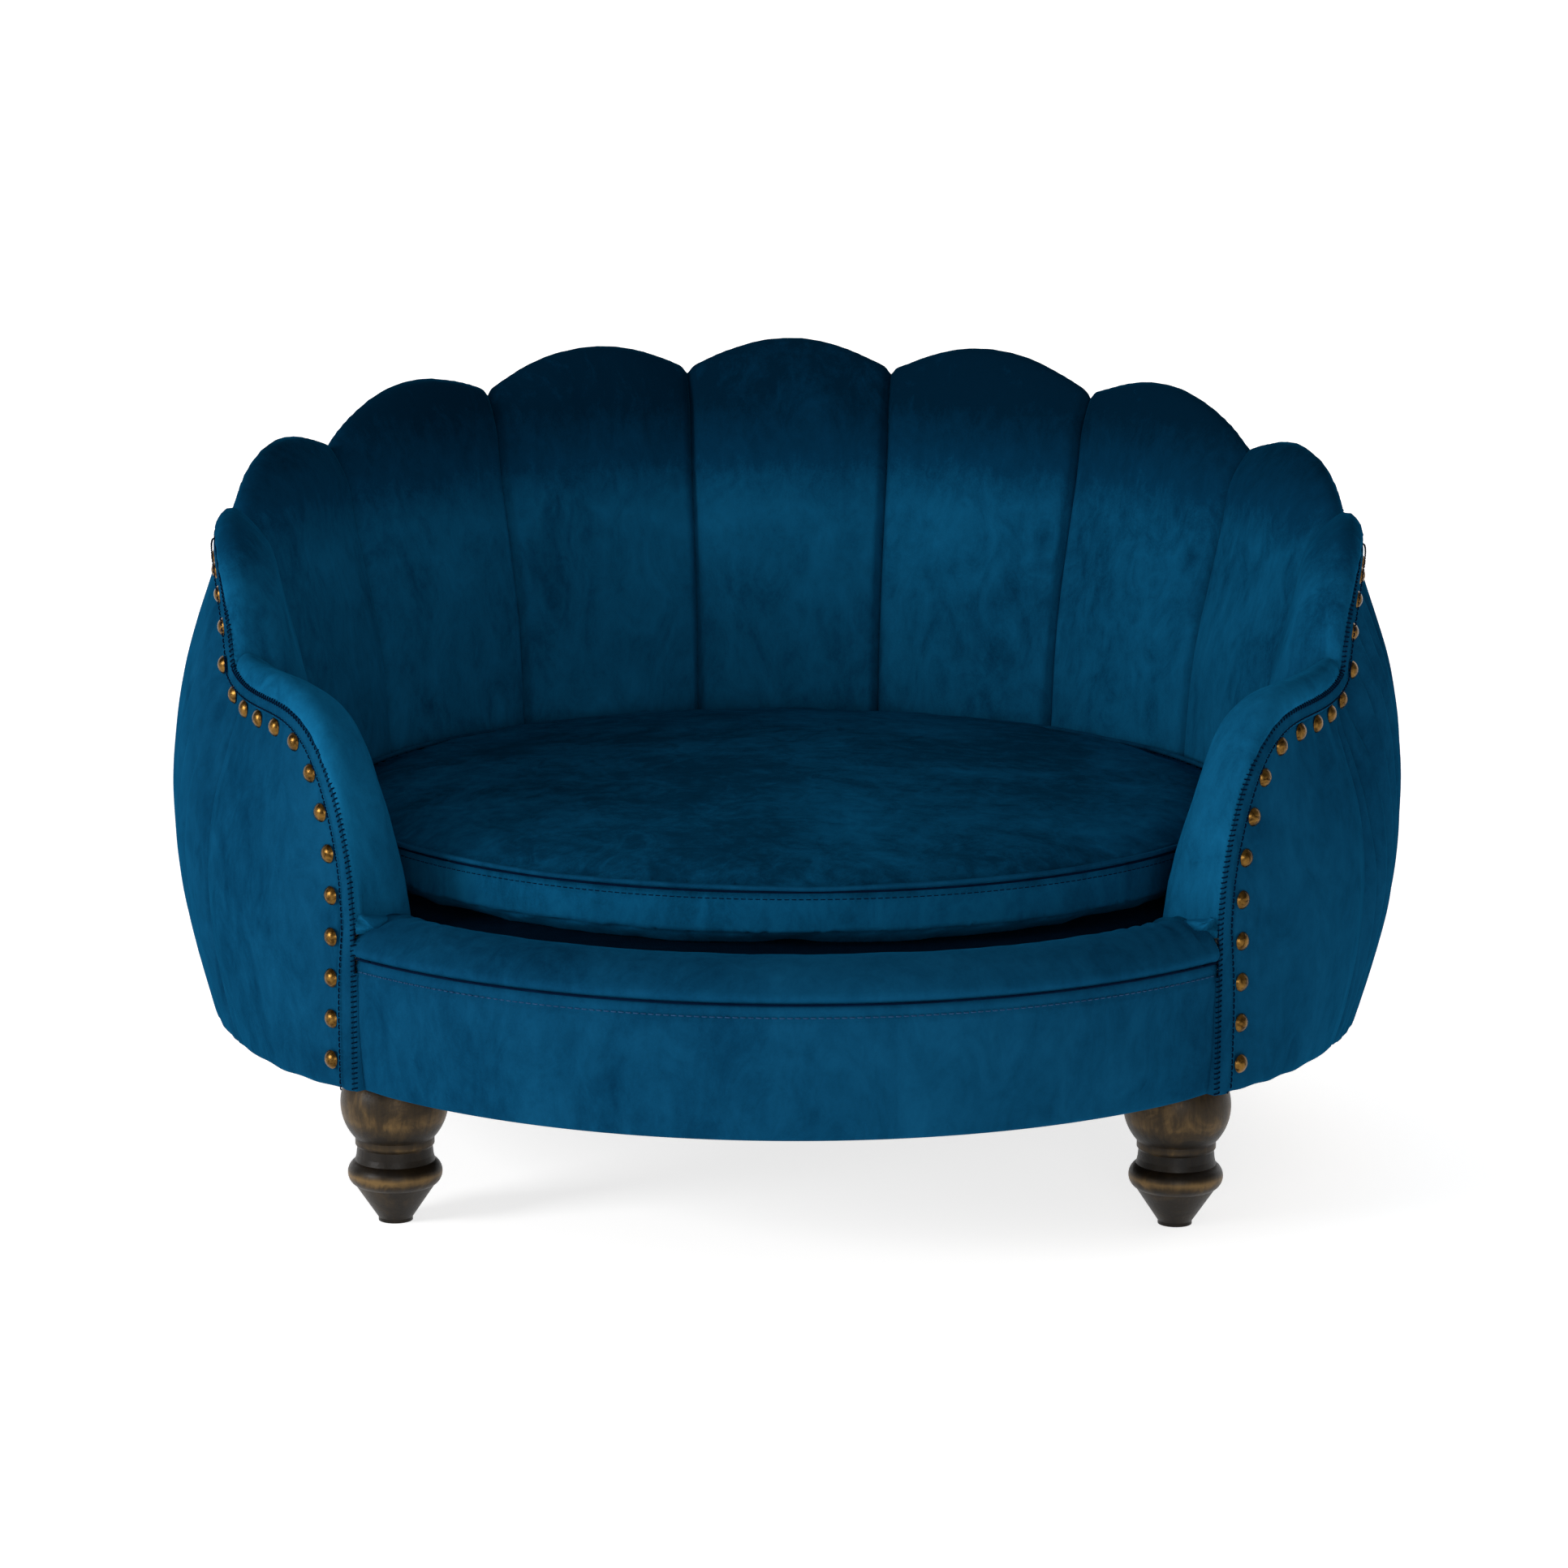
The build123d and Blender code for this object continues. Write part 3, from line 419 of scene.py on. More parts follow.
def make_velvet(name, dark, middle, light, crest=None, sheen=0.12):
    """Brushed short-pile velvet: a mottled nap in streaks, fine pile grain and sheen.

    Where a crest is given, the colour above it is darkened as painted shade: two heights in metres
    between which it darkens, how much darker it gets, and how ragged the turn is.
    """
    material, tree, shader = new_material(name)
    spot = object_spot(tree)
    where = add_node(tree, "ShaderNodeMapping", Vector=spot,
                     Scale=(1.0, 1.0, 0.55)).outputs["Vector"]
    patches = noise_at(tree, where, 8.0, 6.0, 0.62, 0.8)
    brushed = noise_at(tree, where, 38.0, 8.0, 0.7, 1.4)
    pile = noise_at(tree, spot, 900.0, 3.0, 0.7)
    crushed = noise_at(tree, where, 140.0, 5.0, 0.65, 0.6)
    nap_and_painted_shade = mixed(tree, (patches, 0.46), (brushed, 0.3), (crushed, 0.14), (pile, 0.1))
    # Above a given crest the colour is darkened: painted shade on the top
    if crest:
        low, high, depth, rag = crest
        ragged = mixed(tree, (height_of(tree, spot), 1.0), (patches, 1.5 * rag),
                       (brushed, 0.5 * rag))
        painted_top_shade = add_node(tree, "ShaderNodeMapRange", Value=ragged, From_Min=low + rag,
                        From_Max=high + rag, To_Min=0.0, To_Max=depth).outputs["Result"]
        nap_and_painted_shade = math_node(tree, "SUBTRACT", nap_and_painted_shade, painted_top_shade)
    # Deepest colour, reached mostly where the painted top shade pulls the colour down
    deep = [0.4 * part for part in dark]
    colour = ramp(tree, nap_and_painted_shade, [(0.2, deep), (0.37, dark), (0.5, middle), (0.66, light)])
    paint(tree, shader, colour, levelled(tree, nap_and_painted_shade, 0.5, 0.38))
    set_inputs(shader, Specular_IOR_Level=0.0, Sheen_Weight=sheen, Sheen_Roughness=0.35,
               Sheen_Tint=(0.01, 0.33, 0.68, 1))
    bump_chain(tree, shader, [(brushed, 0.0009, 0.3), (crushed, 0.0006, 0.4),
                              (pile, 0.0003, 0.4)])
    return material


def make_wood(name, stops, height_tint=None, rough=0.6, scale=1.0, gloss=0.3):
    """Wood with long grain and pores, and a tint by height where one is given."""
    material, tree, shader = new_material(name)
    spot = object_spot(tree)
    grain_way = (1.0, 1.0, 0.12) if height_tint else (0.1, 1.0, 1.0)
    long_way = add_node(tree, "ShaderNodeMapping", Vector=spot, Scale=grain_way).outputs["Vector"]
    grain = noise_at(tree, long_way, 160.0 * scale, 8.0, 0.65, 0.7)
    blotch = noise_at(tree, spot, 48.0 * scale, 6.0, 0.65, 1.0)
    scratch = noise_at(tree, spot, 330.0 * scale, 4.0, 0.75, 2.0)
    mix = mixed(tree, (grain, 0.4), (blotch, 0.6))
    if height_tint:
        share = math_node(tree, "DIVIDE", height_of(tree, spot), UNDERSIDE * MM)
        share = mixed(tree, (share, 1.0), (blotch, 0.05))
        mix = mixed(tree, (mix, 0.75), (ramp(tree, share, height_tint), 0.5))
    paint(tree, shader, ramp(tree, mix, stops), levelled(tree, scratch, 0.35, rough - 0.17))
    set_inputs(shader, Specular_IOR_Level=gloss)
    bump_chain(tree, shader, [(grain, 0.0005, 0.35), (blotch, 0.0008, 0.25),
                              (scratch, 0.0003, 0.3)])
    return material


def make_metal(name, dark, light, rough):
    """Plated or antiqued metal with a cloudy patina and fine marks."""
    material, tree, shader = new_material(name)
    spot = object_spot(tree)
    patina = noise_at(tree, spot, 260.0, 6.0, 0.65, 0.6)
    marks = noise_at(tree, spot, 1400.0, 3.0)
    paint(tree, shader, ramp(tree, patina, [(0.34, dark), (0.62, light)]),
          levelled(tree, patina, 0.3, rough - 0.15))
    set_inputs(shader, Metallic=1.0)
    bump_chain(tree, shader, [(patina, 0.0004, 0.25), (marks, 0.0001, 0.3)])
    return material


def make_cloth(name, dark, light, threads, rough=0.85, gloss=0.25):
    """Plain woven or felted cloth: crossed threads and a cloudy tone."""
    material, tree, shader = new_material(name)
    spot = object_spot(tree)
    waves = []
    for way in ("X", "Y"):
        waves.append(add_node(tree, "ShaderNodeTexWave", {"bands_direction": way}, Vector=spot,
                              Scale=threads, Distortion=0.6, Detail=2.0).outputs["Fac"])
    weave = math_node(tree, "MULTIPLY", *waves)
    cloud = noise_at(tree, spot, 70.0, 7.0, 0.7)
    mix = mixed(tree, (weave, 0.4), (cloud, 0.6))
    tree.links.new(ramp(tree, mix, [(0.2, dark), (0.65, light)]), shader.inputs["Base Color"])
    set_inputs(shader, Roughness=rough, Specular_IOR_Level=gloss)
    bump_chain(tree, shader, [(weave, 0.0002, 0.5), (cloud, 0.0005, 0.3)])
    return material


# Dark, middle and light of each velvet, where its top is darkened as painted shade, and its sheen
VELVETS = {
    "velvet": ((0.0011, 0.023, 0.057), (0.0024, 0.044, 0.1), (0.0042, 0.067, 0.146)),
    # Lighter copy of velvet, painted light for the inner wall, with painted shade on the wall's top
    "wall_velvet": ((0.0014, 0.033, 0.079), (0.0036, 0.077, 0.168), (0.006, 0.118, 0.25),
                    (0.35, 0.42, 0.3, 0.06)),
    # Lighter copy of velvet, painted light for the cushion's sides, with painted shade on its top
    "seat_velvet": ((0.0012, 0.03, 0.069), (0.0028, 0.066, 0.148), (0.005, 0.103, 0.214),
                    (0.206, 0.213, 0.08, 0.002), 0.03),
}
# Dark and light of each cloth, its threads' fineness, roughness and gloss
CLOTHS = {
    "foam": ((0.55, 0.48, 0.32), (0.72, 0.66, 0.5), 400.0, 0.95),
    "wadding": ((0.6, 0.6, 0.56), (0.85, 0.85, 0.82), 160.0, 0.95),
    # Deck cloth is near black: partly its own dark colour, partly painted shade for the gap under
    # the cushion
    "deck_cloth": ((0.0, 0.004, 0.012), (0.0003, 0.012, 0.03), 500.0, 0.95, 0.02),
    "dust_cloth": ((0.006, 0.006, 0.007), (0.02, 0.02, 0.022), 300.0),
    "zip_tape": ((0.0, 0.01, 0.03), (0.001, 0.03, 0.08), 700.0),
    "zip_teeth": ((0.001, 0.01, 0.025), (0.004, 0.03, 0.07), 900.0, 0.4),
    "thread": ((0.0, 0.002, 0.009), (0.0004, 0.01, 0.036), 1500.0, 0.8, 0.02),
    "pale_thread": ((0.004, 0.03, 0.09), (0.03, 0.1, 0.22), 1500.0, 0.6, 0.1),
}
# Dark and light of each metal, and its roughness
METALS = {
    "antique_brass": ((0.018, 0.009, 0.003), (0.2, 0.105, 0.024), 0.28),
    "zinc_steel": ((0.35, 0.35, 0.36), (0.6, 0.6, 0.62), 0.35),
    "zip_metal": ((0.1, 0.06, 0.025), (0.4, 0.25, 0.1), 0.35),
}
# Brightness of a turned foot by its share of the height under the sofa
FOOT_TINTS = [(0.05, 0.16), (0.3, 0.3), (0.36, 0.85), (0.41, 0.12), (0.53, 0.06), (0.57, 0.5),
              (0.63, 0.1), (0.75, 0.6), (0.95, 0.4)]

MATERIALS = {
    "plywood": make_wood("plywood", [(0.25, (0.3, 0.18, 0.08)), (0.75, (0.55, 0.37, 0.2))]),
    "frame_timber": make_wood("frame_timber", [(0.25, (0.36, 0.22, 0.1)),
                                               (0.75, (0.6, 0.42, 0.24))], scale=0.6),
    "walnut": make_wood("walnut", [(0.34, (0.0022, 0.0012, 0.0005)), (0.5, (0.0095, 0.0058, 0.0022)),
                                   (0.62, (0.031, 0.0185, 0.006)), (0.8, (0.13, 0.077, 0.025))],
                        height_tint=[(share, (tint,) * 3) for share, tint in FOOT_TINTS],
                        rough=0.4, gloss=0.18),
}
for make, looks in ((make_velvet, VELVETS), (make_cloth, CLOTHS), (make_metal, METALS)):
    for name, look in looks.items():
        MATERIALS[name] = make(name, *look)

for part in frame["record"]["subparts"]:
    shown = frame["nodes"][part["node"]].data
    shown.materials.clear()
    shown.materials.append(MATERIALS[part["material_slot"]])


# Fluted wall
FACE_ROWS = 92
PETAL_COLUMNS = 44
COLUMN_CROWDING = 0.6
FACE_SHARES = (0.12, 0.46, 0.8)
LEAN_SHARE = 0.245
LOBE_DEPTH = 9.0
LOBE_POWER = 2.6
RIM_LOBE_SHARE = 0.32
RIM_START_SHARE = 0.78
SEAM_GROOVE = 6.5
SEAM_GROOVE_WIDTH = 2.2
FINE_WAVES = ((0.9, 60, 0, 12), (0.45, 16, 20, 8))
PUCKER_DEPTH = 0.3
PUCKER_PITCH = 21
GATHER_DEPTH = 0.35
GATHER_PITCH = 6.5
CROSS_SEAM_HEIGHT = 375
CROSS_SEAM_DEPTH = 2.2
CROSS_SEAM_WIDTH = 1.8
BACK_GAP = 0.4
BOARD_TOP_GAP = 0.8
ARM_FRONT_STEPS = 7
ARM_FRONT_SWELL = 6.5
ARM_FRONT_ROUND = 16
ARM_FRONT_DRAW = 0.55
# Slack creases that rise from the seat: share across, depth and share of the height
CREASES = {
    -2: [(0.16, 2.0, 0.34), (0.27, 1.4, 0.26), (0.85, 1.6, 0.3)],
    -3: [(0.74, 1.8, 0.42), (0.86, 1.3, 0.3)],
    2: [(0.8, 1.2, 0.3)],
    3: [(0.3, 1.3, 0.4), (0.6, 1.0, 0.3)],
}


def board_radius(height):
    """Inner radius of the leaning wall board."""
    share = (height - BASE_TOP) / (RIM_TOP - BASE_TOP)
    return between(BOARD_RADIUS, BOARD_TOP_RADIUS, share)


def petal_controls(number, share, angle):
    """Guide points of a petal's face in section, at the level of its seams."""
    roll = ARM_END_ROLL * share**4 if abs(number) == SIDE_PETALS else 0
    rim = rim_height(angle)
    wall = rim - DECK_TOP
    seat = SEAT_RADIUS + roll
    lean = PETAL_LEAN * sqrt(min(wall / WALL_HEIGHT, 1))
    low, middle, high = (DECK_TOP + face_share * wall for face_share in FACE_SHARES)
    leant = (seat + lean, high)
    crest = (CREST_RADIUS, rim)
    seam = (SEAM_RADIUS, rim - CREST_DROP)
    return [
        (seat, DECK_TOP),
        (seat, low),
        (seat + LEAN_SHARE * lean, middle),
        leant,
        (between(leant[0], crest[0], 0.32), between(leant[1], crest[1], 0.59)),
        crest,
        (between(crest[0], seam[0], 0.75), between(crest[1], seam[1], 0.25)),
        seam,
    ]


def petal_push(number, share, row, line, angle, width):
    """How far a point of a petal's face stands proud of the level of its seams."""
    rise = row / (FACE_ROWS - 1)
    height = line[row][1]
    lobe = LOBE_DEPTH * (1 - abs(2 * share - 1) ** LOBE_POWER)
    at_rim = ease(RIM_START_SHARE, 1.0, rise)
    amount = lobe * between(1.0, RIM_LOBE_SHARE, at_rim)
    side = min(share, 1 - share) * width
    amount -= SEAM_GROOVE * bump(side, SEAM_GROOVE_WIDTH) * (1 - 0.6 * at_rim)
    for depth, size, seed, clear in FINE_WAVES:
        amount += depth * soft_noise(angle, height, size, number + seed) * ease(0, clear, side)
    puckers = sin(2 * pi * height / PUCKER_PITCH + 7 * soft_noise(angle, height, 45, 3))
    patchy = clamp(0.5 + 2.2 * soft_noise(angle, height, 80, 8))
    amount += PUCKER_DEPTH * puckers * patchy * bump(side - 9, 5) * (1 - at_rim)
    gathers = sin(2 * pi * SEAM_RADIUS * radians(angle) / GATHER_PITCH)
    amount += GATHER_DEPTH * gathers * ease(0.93, 1.0, rise) * ease(0, 5, side)
    for middle, depth, top in CREASES.get(number, ()):
        across = (share - middle) * width + 3 * soft_noise(angle, height, 50, 9)
        crease = 0.7 * bump(across - 7, 4.0) - bump(across, 3.2)
        amount += depth * crease * (1 - ease(0.1, top, rise))
    if number == -1:
        seam = bump(height - CROSS_SEAM_HEIGHT, CROSS_SEAM_WIDTH)
        amount -= CROSS_SEAM_DEPTH * seam * ease(0, 6, side)
    return amount


def petal_back(line, angle):
    """Hidden side of a petal: over the wall board's top and down its inner face."""
    top = rim_height(angle) - BOARD_PADDING
    half = between(top, DECK_TOP, 0.5)
    return [
        (line[-1][0] - 1.8, min(inset_height(angle, STRIP_WIDTH) + 1.2, line[-1][1] - 1)),
        (board_radius(top) + BOARD_THICKNESS + BACK_GAP, top + BOARD_TOP_GAP),
        (board_radius(top) - BACK_GAP, top + BOARD_TOP_GAP),
        (board_radius(half) - BACK_GAP, half),
        (board_radius(DECK_TOP) - BACK_GAP, DECK_TOP),
    ]


def arm_front(section, angle):
    """Rings that round off the front of an arm in to its outer seam."""
    rings = []
    for step in range(1, ARM_FRONT_STEPS + 1):
        turn = pi / 2 * step / ARM_FRONT_STEPS
        swell = ARM_FRONT_SWELL * sin(turn) * (1 if angle > 0 else -1)
        ring = []
        for radius, height in section:
            inner = clamp((SEAM_RADIUS - radius) / ARM_FRONT_ROUND)
            shrunk = radius + (SEAM_RADIUS - radius) * ARM_FRONT_DRAW * (1 - cos(turn))
            ring.append(place(angle + degrees(swell / SEAM_RADIUS) * inner, shrunk, height))
        rings.append(ring)
    return rings


def make_petal(number):
    """One padded velvet channel over its foam."""
    low, high = petal_span(abs(number))
    sign = -1 if number < 0 else 1
    rings = []
    for column in range(PETAL_COLUMNS + 1):
        even = column / PETAL_COLUMNS
        share = between(even, 0.5 - 0.5 * cos(pi * even), COLUMN_CROWDING)
        angle = sign * between(low, high, share)
        line = smooth_line(petal_controls(number, share, angle), FACE_ROWS)
        width = radians(high - low) * SEAT_RADIUS
        amounts = [petal_push(number, share, row, line, angle, width) for row in range(FACE_ROWS)]
        amounts[0] /= 2
        face = push(line, amounts)
        face[0] = (face[0][0], DECK_TOP)
        face[-1] = line[-1]
        section = face + petal_back(line, angle)
        rings.append([place(angle, *point) for point in section])
    if abs(number) == SIDE_PETALS:
        rings.extend(arm_front(section, angle))
    node, foam = "middle_petal", "middle_petal_foam"
    if number:
        side = "left" if number < 0 else "right"
        node, foam = f"{side}_petal_{abs(number)}", f"{side}_petal_foam_{abs(number)}"
    piece = new_object(ring_mesh(f"velvet_{node}", rings), "wall_velvet")
    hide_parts(node, foam)


for number in range(-SIDE_PETALS, SIDE_PETALS + 1):
    make_petal(number)


# Outer cover: nails pull it in, pleats fan down both sides
def solid_middles(node):
    """Plan angle and height of each separate solid's middle in a CAD node, and its reach."""
    work = bmesh.new()
    work.from_mesh(frame["nodes"][node].data)
    bmesh.ops.remove_doubles(work, verts=work.verts, dist=1e-6)
    seen, middles = set(), []
    for start in work.verts:
        if start.index in seen:
            continue
        island, edge = [], [start]
        seen.add(start.index)
        while edge:
            vertex = edge.pop()
            island.append(vertex.co.copy())
            for link in vertex.link_edges:
                other = link.other_vert(vertex)
                if other.index not in seen:
                    seen.add(other.index)
                    edge.append(other)
        middle = sum(island, Vector()) / len(island) / MM
        reached = max(hypot(spot.x, spot.y - RING_Y * MM) for spot in island) / MM
        middles.append((degrees(atan2(middle.x, middle.y - RING_Y)), middle.z, reached))
    work.free()
    return middles


COVER_ROWS = 74
NAIL_HEAD = 2.7
NAIL_SEAT_DEPTHS = (0.8, 4)
NAIL_DIMPLE_WIDTH = 7.5
NAIL_CREASE_DEPTH = 1.5
NAIL_CREASE_WIDTH = 4.2
NAIL_CREASE_LENGTH = 20
NAIL_CREASE_LEAN = 0.35
UPRIGHT_NAILS_SPAN = 4.5
BELLY_SHARE = 0.245
FRONT_FOOT_ANGLES = (118, 130)
FOOT_PRESS = 1
HEM_PRESS = 0.5
SEAM_PRESS = 3
# Pleats on the right, 1, and on the left, -1: plan angles at foot and top, count and depth
PLEAT_FOOT_ANGLES = {1: (90, 110.5), -1: (97, 107)}
PLEAT_TOP_ANGLES = {1: (96, 113), -1: (103, 111)}
PLEAT_COUNTS = {1: 7, -1: 3}
PLEAT_DEPTHS = {1: 9.0, -1: 2.0}
PLEAT_ANGLES = (88, 114)
PLEAT_STEP = 0.22
PLAIN_STEP = 0.55
WADDING_CLEARANCE = 7.6
PANEL_SEAM_DEPTH = 2.4
PANEL_SEAM_WIDTH = 2.4
COVER_WAVES = ((1.1, 90, 11, 0.2), (0.5, 28, 12, 0.1))
HEM_FOLD_DEPTH = 0.35
HEM_FOLD_PITCH = 34


def bulge_at(angle):
    """Fullest radius of the outer cover at a plan angle."""
    share = clamp((abs(angle) - SWELL_START) / (edge_end(STRIP_WIDTH) - SWELL_START))
    full = between(COVER_FRONT_RADIUS, BULGE_RADIUS, cos(pi / 2 * share))
    near = (abs(angle) - PANEL_SEAM) / 2
    return full - SEAM_PRESS / (1 + near**4)


def cover_line(angle):
    """Outer cover in section, from its nailed edge down to its hem."""
    top = inset_height(angle, STRIP_WIDTH)
    middle = between(UNDERSIDE, top, 0.5)
    full = bulge_at(angle)
    nail = (COVER_NAIL_RADIUS, top - NAIL_MARGIN)
    tucked = ease(*FRONT_FOOT_ANGLES, abs(angle))
    foot = (between(FOOT_RADIUS, COVER_FRONT_RADIUS - FOOT_PRESS, tucked), UNDERSIDE + HEM_RISE)
    return smooth_line([
        (COVER_TOP_RADIUS, top),
        nail,
        (between(full, nail[0], BELLY_SHARE), (middle + nail[1]) / 2),
        (full, middle),
        (between(full, foot[0], BELLY_SHARE), (middle + foot[1]) / 2),
        foot,
        (HEM_RADIUS + HEM_PRESS, UNDERSIDE),
    ], COVER_ROWS)


def pleat_push(angle, fall):
    """How far the gathered folds stand in at a place, from 0 at the strip to 1 at the hem."""
    sign = 1 if angle > 0 else -1
    low = between(PLEAT_TOP_ANGLES[sign][0], PLEAT_FOOT_ANGLES[sign][0], fall)
    high = between(PLEAT_TOP_ANGLES[sign][1], PLEAT_FOOT_ANGLES[sign][1], fall)
    turn = (abs(angle) - low) / (high - low)
    if not 0 < turn < 1:
        return 0
    phase = turn * PLEAT_COUNTS[sign] + 0.4 * soft_noise(angle, 300 * fall, 120, 5)
    saw = phase % 1
    ridge = sin(pi * saw**0.8) ** 0.6 if saw else 0
    strength = between(1.0, 0.55, ease(0.5, 1.0, fall)) * ease(0.0, 0.06, fall)
    edges = ease(0, 0.06, turn) * ease(0, 0.06, 1 - turn)
    return -PLEAT_DEPTHS[sign] * strength * edges * (1 - ridge)


def cover_radius(angle, height):
    """Radius of the plain outer cover at a plan angle and height."""
    line = cover_line(angle)
    for upper, lower in zip(line, line[1:]):
        if lower[1] <= height <= upper[1]:
            share = (upper[1] - height) / (upper[1] - lower[1] or 1)
            return between(upper[0], lower[0], share)
    return line[0][0] if height > line[0][1] else line[-1][0]


def find_nails():
    """Plan angle, height and seat depth of every nail."""
    nails = []
    for node in ("nails_back", "nails_left", "nails_right"):
        for angle, height, reached in solid_middles(node):
            sunk = cover_radius(angle, height) - reached + NAIL_HEAD
            nails.append((angle, height, clamp(sunk, *NAIL_SEAT_DEPTHS)))
    return nails


NAILS = find_nails()


def nail_push(angle, height):
    """Dimples round the nails and the soft creases that run down from them."""
    amount = 0
    for nail_angle, nail_height, seat_depth in NAILS:
        across = SEAM_RADIUS * radians(angle - nail_angle)
        down = nail_height - height
        if abs(across) > 60 or not -20 < down < 75:
            continue
        amount -= seat_depth * bump(hypot(across, down), NAIL_DIMPLE_WIDTH)
        side = 1 if nail_angle >= 0 else -1
        if abs(nail_angle) > ARM_END - UPRIGHT_NAILS_SPAN:
            run, drift, lean = -across * side, down, NAIL_CREASE_LEAN
        else:
            run, drift, lean = down, across, NAIL_CREASE_LEAN * side
        if run > 0:
            fading = exp(-run / NAIL_CREASE_LENGTH) * ease(0, 5, run)
            amount -= NAIL_CREASE_DEPTH * bump(drift - lean * run, NAIL_CREASE_WIDTH) * fading
    return amount


def cover_push(angle, row, line):
    """Displacement of the outer cover at a point, no deeper than the wadding lets it."""
    fall = row / (COVER_ROWS - 1)
    height = line[row][1]
    amount = max(nail_push(angle, height) + pleat_push(angle, fall), -WADDING_CLEARANCE)
    seam = bump(SEAM_RADIUS * radians(abs(angle) - PANEL_SEAM), PANEL_SEAM_WIDTH)
    amount -= PANEL_SEAM_DEPTH * seam * ease(0.02, 0.1, fall)
    for depth, size, seed, clear in COVER_WAVES:
        amount += depth * soft_noise(angle, height, size, seed) * ease(0, clear, fall)
    along = SEAM_RADIUS * radians(angle) / HEM_FOLD_PITCH
    hem_folds = sin(2 * pi * along + 3 * soft_noise(angle, 0, 90, 4))
    amount += HEM_FOLD_DEPTH * hem_folds * ease(0.86, 1.0, fall)
    return amount * (1 - ease(0.985, 1.0, fall))


def fine_angles(low, high):
    """Plan angles of a panel's columns, closer over the pleats."""
    angles = [low]
    while angles[-1] < high - 0.2:
        pleated = PLEAT_ANGLES[0] < abs(angles[-1]) < PLEAT_ANGLES[1]
        angles.append(min(angles[-1] + (PLEAT_STEP if pleated else PLAIN_STEP), high))
    angles[-1] = high
    return angles


def make_cover(name, node, low, high):
    """One panel of the outer cover, a velvet shell."""
    rings = []
    for angle in fine_angles(low, high):
        line = cover_line(angle)
        outside = push(line, [cover_push(angle, row, line) for row in range(COVER_ROWS)])
        inside = [(radius - COVER_THICKNESS, height) for radius, height in outside]
        inside[-1] = (inside[-1][0], UNDERSIDE)
        outside[-1] = (outside[-1][0], UNDERSIDE)
        rings.append([place(angle, *point) for point in outside + inside[::-1]])
    piece = new_object(ring_mesh(name, rings), "velvet")
    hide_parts(node)


make_cover("velvet_cover_back", "outer_cover_back", -PANEL_SEAM, PANEL_SEAM)
make_cover("velvet_cover_left", "outer_cover_left", -edge_end(STRIP_WIDTH), -PANEL_SEAM)
make_cover("velvet_cover_right", "outer_cover_right", PANEL_SEAM, edge_end(STRIP_WIDTH))


# Strip along the rim, its whip-stitched seam and its second line of stitches
RETURN_RADIUS = 318
RETURN_RISE = 2
RETURN_ANGLES = (-0.1, 0.15, 0.3)
EDGE_STEPS = 420
STRIP_PITCH = 2.5
STRIP_BELLY = ((0, 0.4), (0.12, 1.2), (0.35, 2.0), (0.65, 2.0), (0.9, 1.4), (1.08, 0.4))
STRIP_BACK_SHARES = (1.08, 0.5, 0)
STRIP_BACK_DEPTH = -0.6
WHIP_LEAN = 0.35
EDGE_THREAD = 0.45


def edge_line(inset, pitch):
    """Evenly spaced (plan angle, height) along the rim at an inset, hem to hem."""
    end = edge_end(inset)
    half = [(end, UNDERSIDE)]
    for step in range(EDGE_STEPS + 1):
        angle = end * (1 - step / EDGE_STEPS)
        height = inset_height(angle, inset) if inset else rim_height(angle) - CREST_DROP
        half.append((angle, height))
    whole = half + [(-angle, height) for angle, height in reversed(half[:-1])]
    runs = [hypot(SEAM_RADIUS * radians(b[0] - a[0]), b[1] - a[1])
            for a, b in zip(whole, whole[1:])]
    return spread_along(whole, runs, ceil(sum(runs) / pitch) + 1)


def strip_corners(angle, height, low_angle, low_height):
    """Section of the strip across its width, from the seam to the nailed edge, bellied outward."""
    seam, edge = SEAM_RADIUS + 0.3, cover_radius(low_angle, low_height) + 0.2
    back = [(share, STRIP_BACK_DEPTH) for share in STRIP_BACK_SHARES]
    return [place(between(angle, low_angle, share), between(seam, edge, share) + out,
                  between(height, low_height, share))
            for share, out in (*STRIP_BELLY, *back)]


def make_strip():
    """Narrow band between the seam and the nails, all along the rim and down the arms' fronts."""
    upper, lower = edge_line(0, STRIP_PITCH), edge_line(STRIP_WIDTH, STRIP_PITCH)
    rings = []
    for index, (angle, height) in enumerate(upper):
        low = lower[round(index * (len(lower) - 1) / (len(upper) - 1))]
        rings.append(strip_corners(angle, height, *low))
    piece = new_object(ring_mesh("velvet_rim_strip", rings), "velvet")
    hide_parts("rim_strip")
    inner, outer, top = RETURN_RADIUS, SEAM_RADIUS + 1, DECK_TOP + RETURN_RISE
    corners = ((inner, UNDERSIDE), (outer, UNDERSIDE), (outer, top), (inner, top))
    for side, sign in (("left", -1), ("right", 1)):
        rings = [[place(sign * (ARM_END + turn), *corner) for corner in corners]
                 for turn in RETURN_ANGLES]
        new_object(ring_mesh(f"velvet_{side}_return", rings), "velvet")


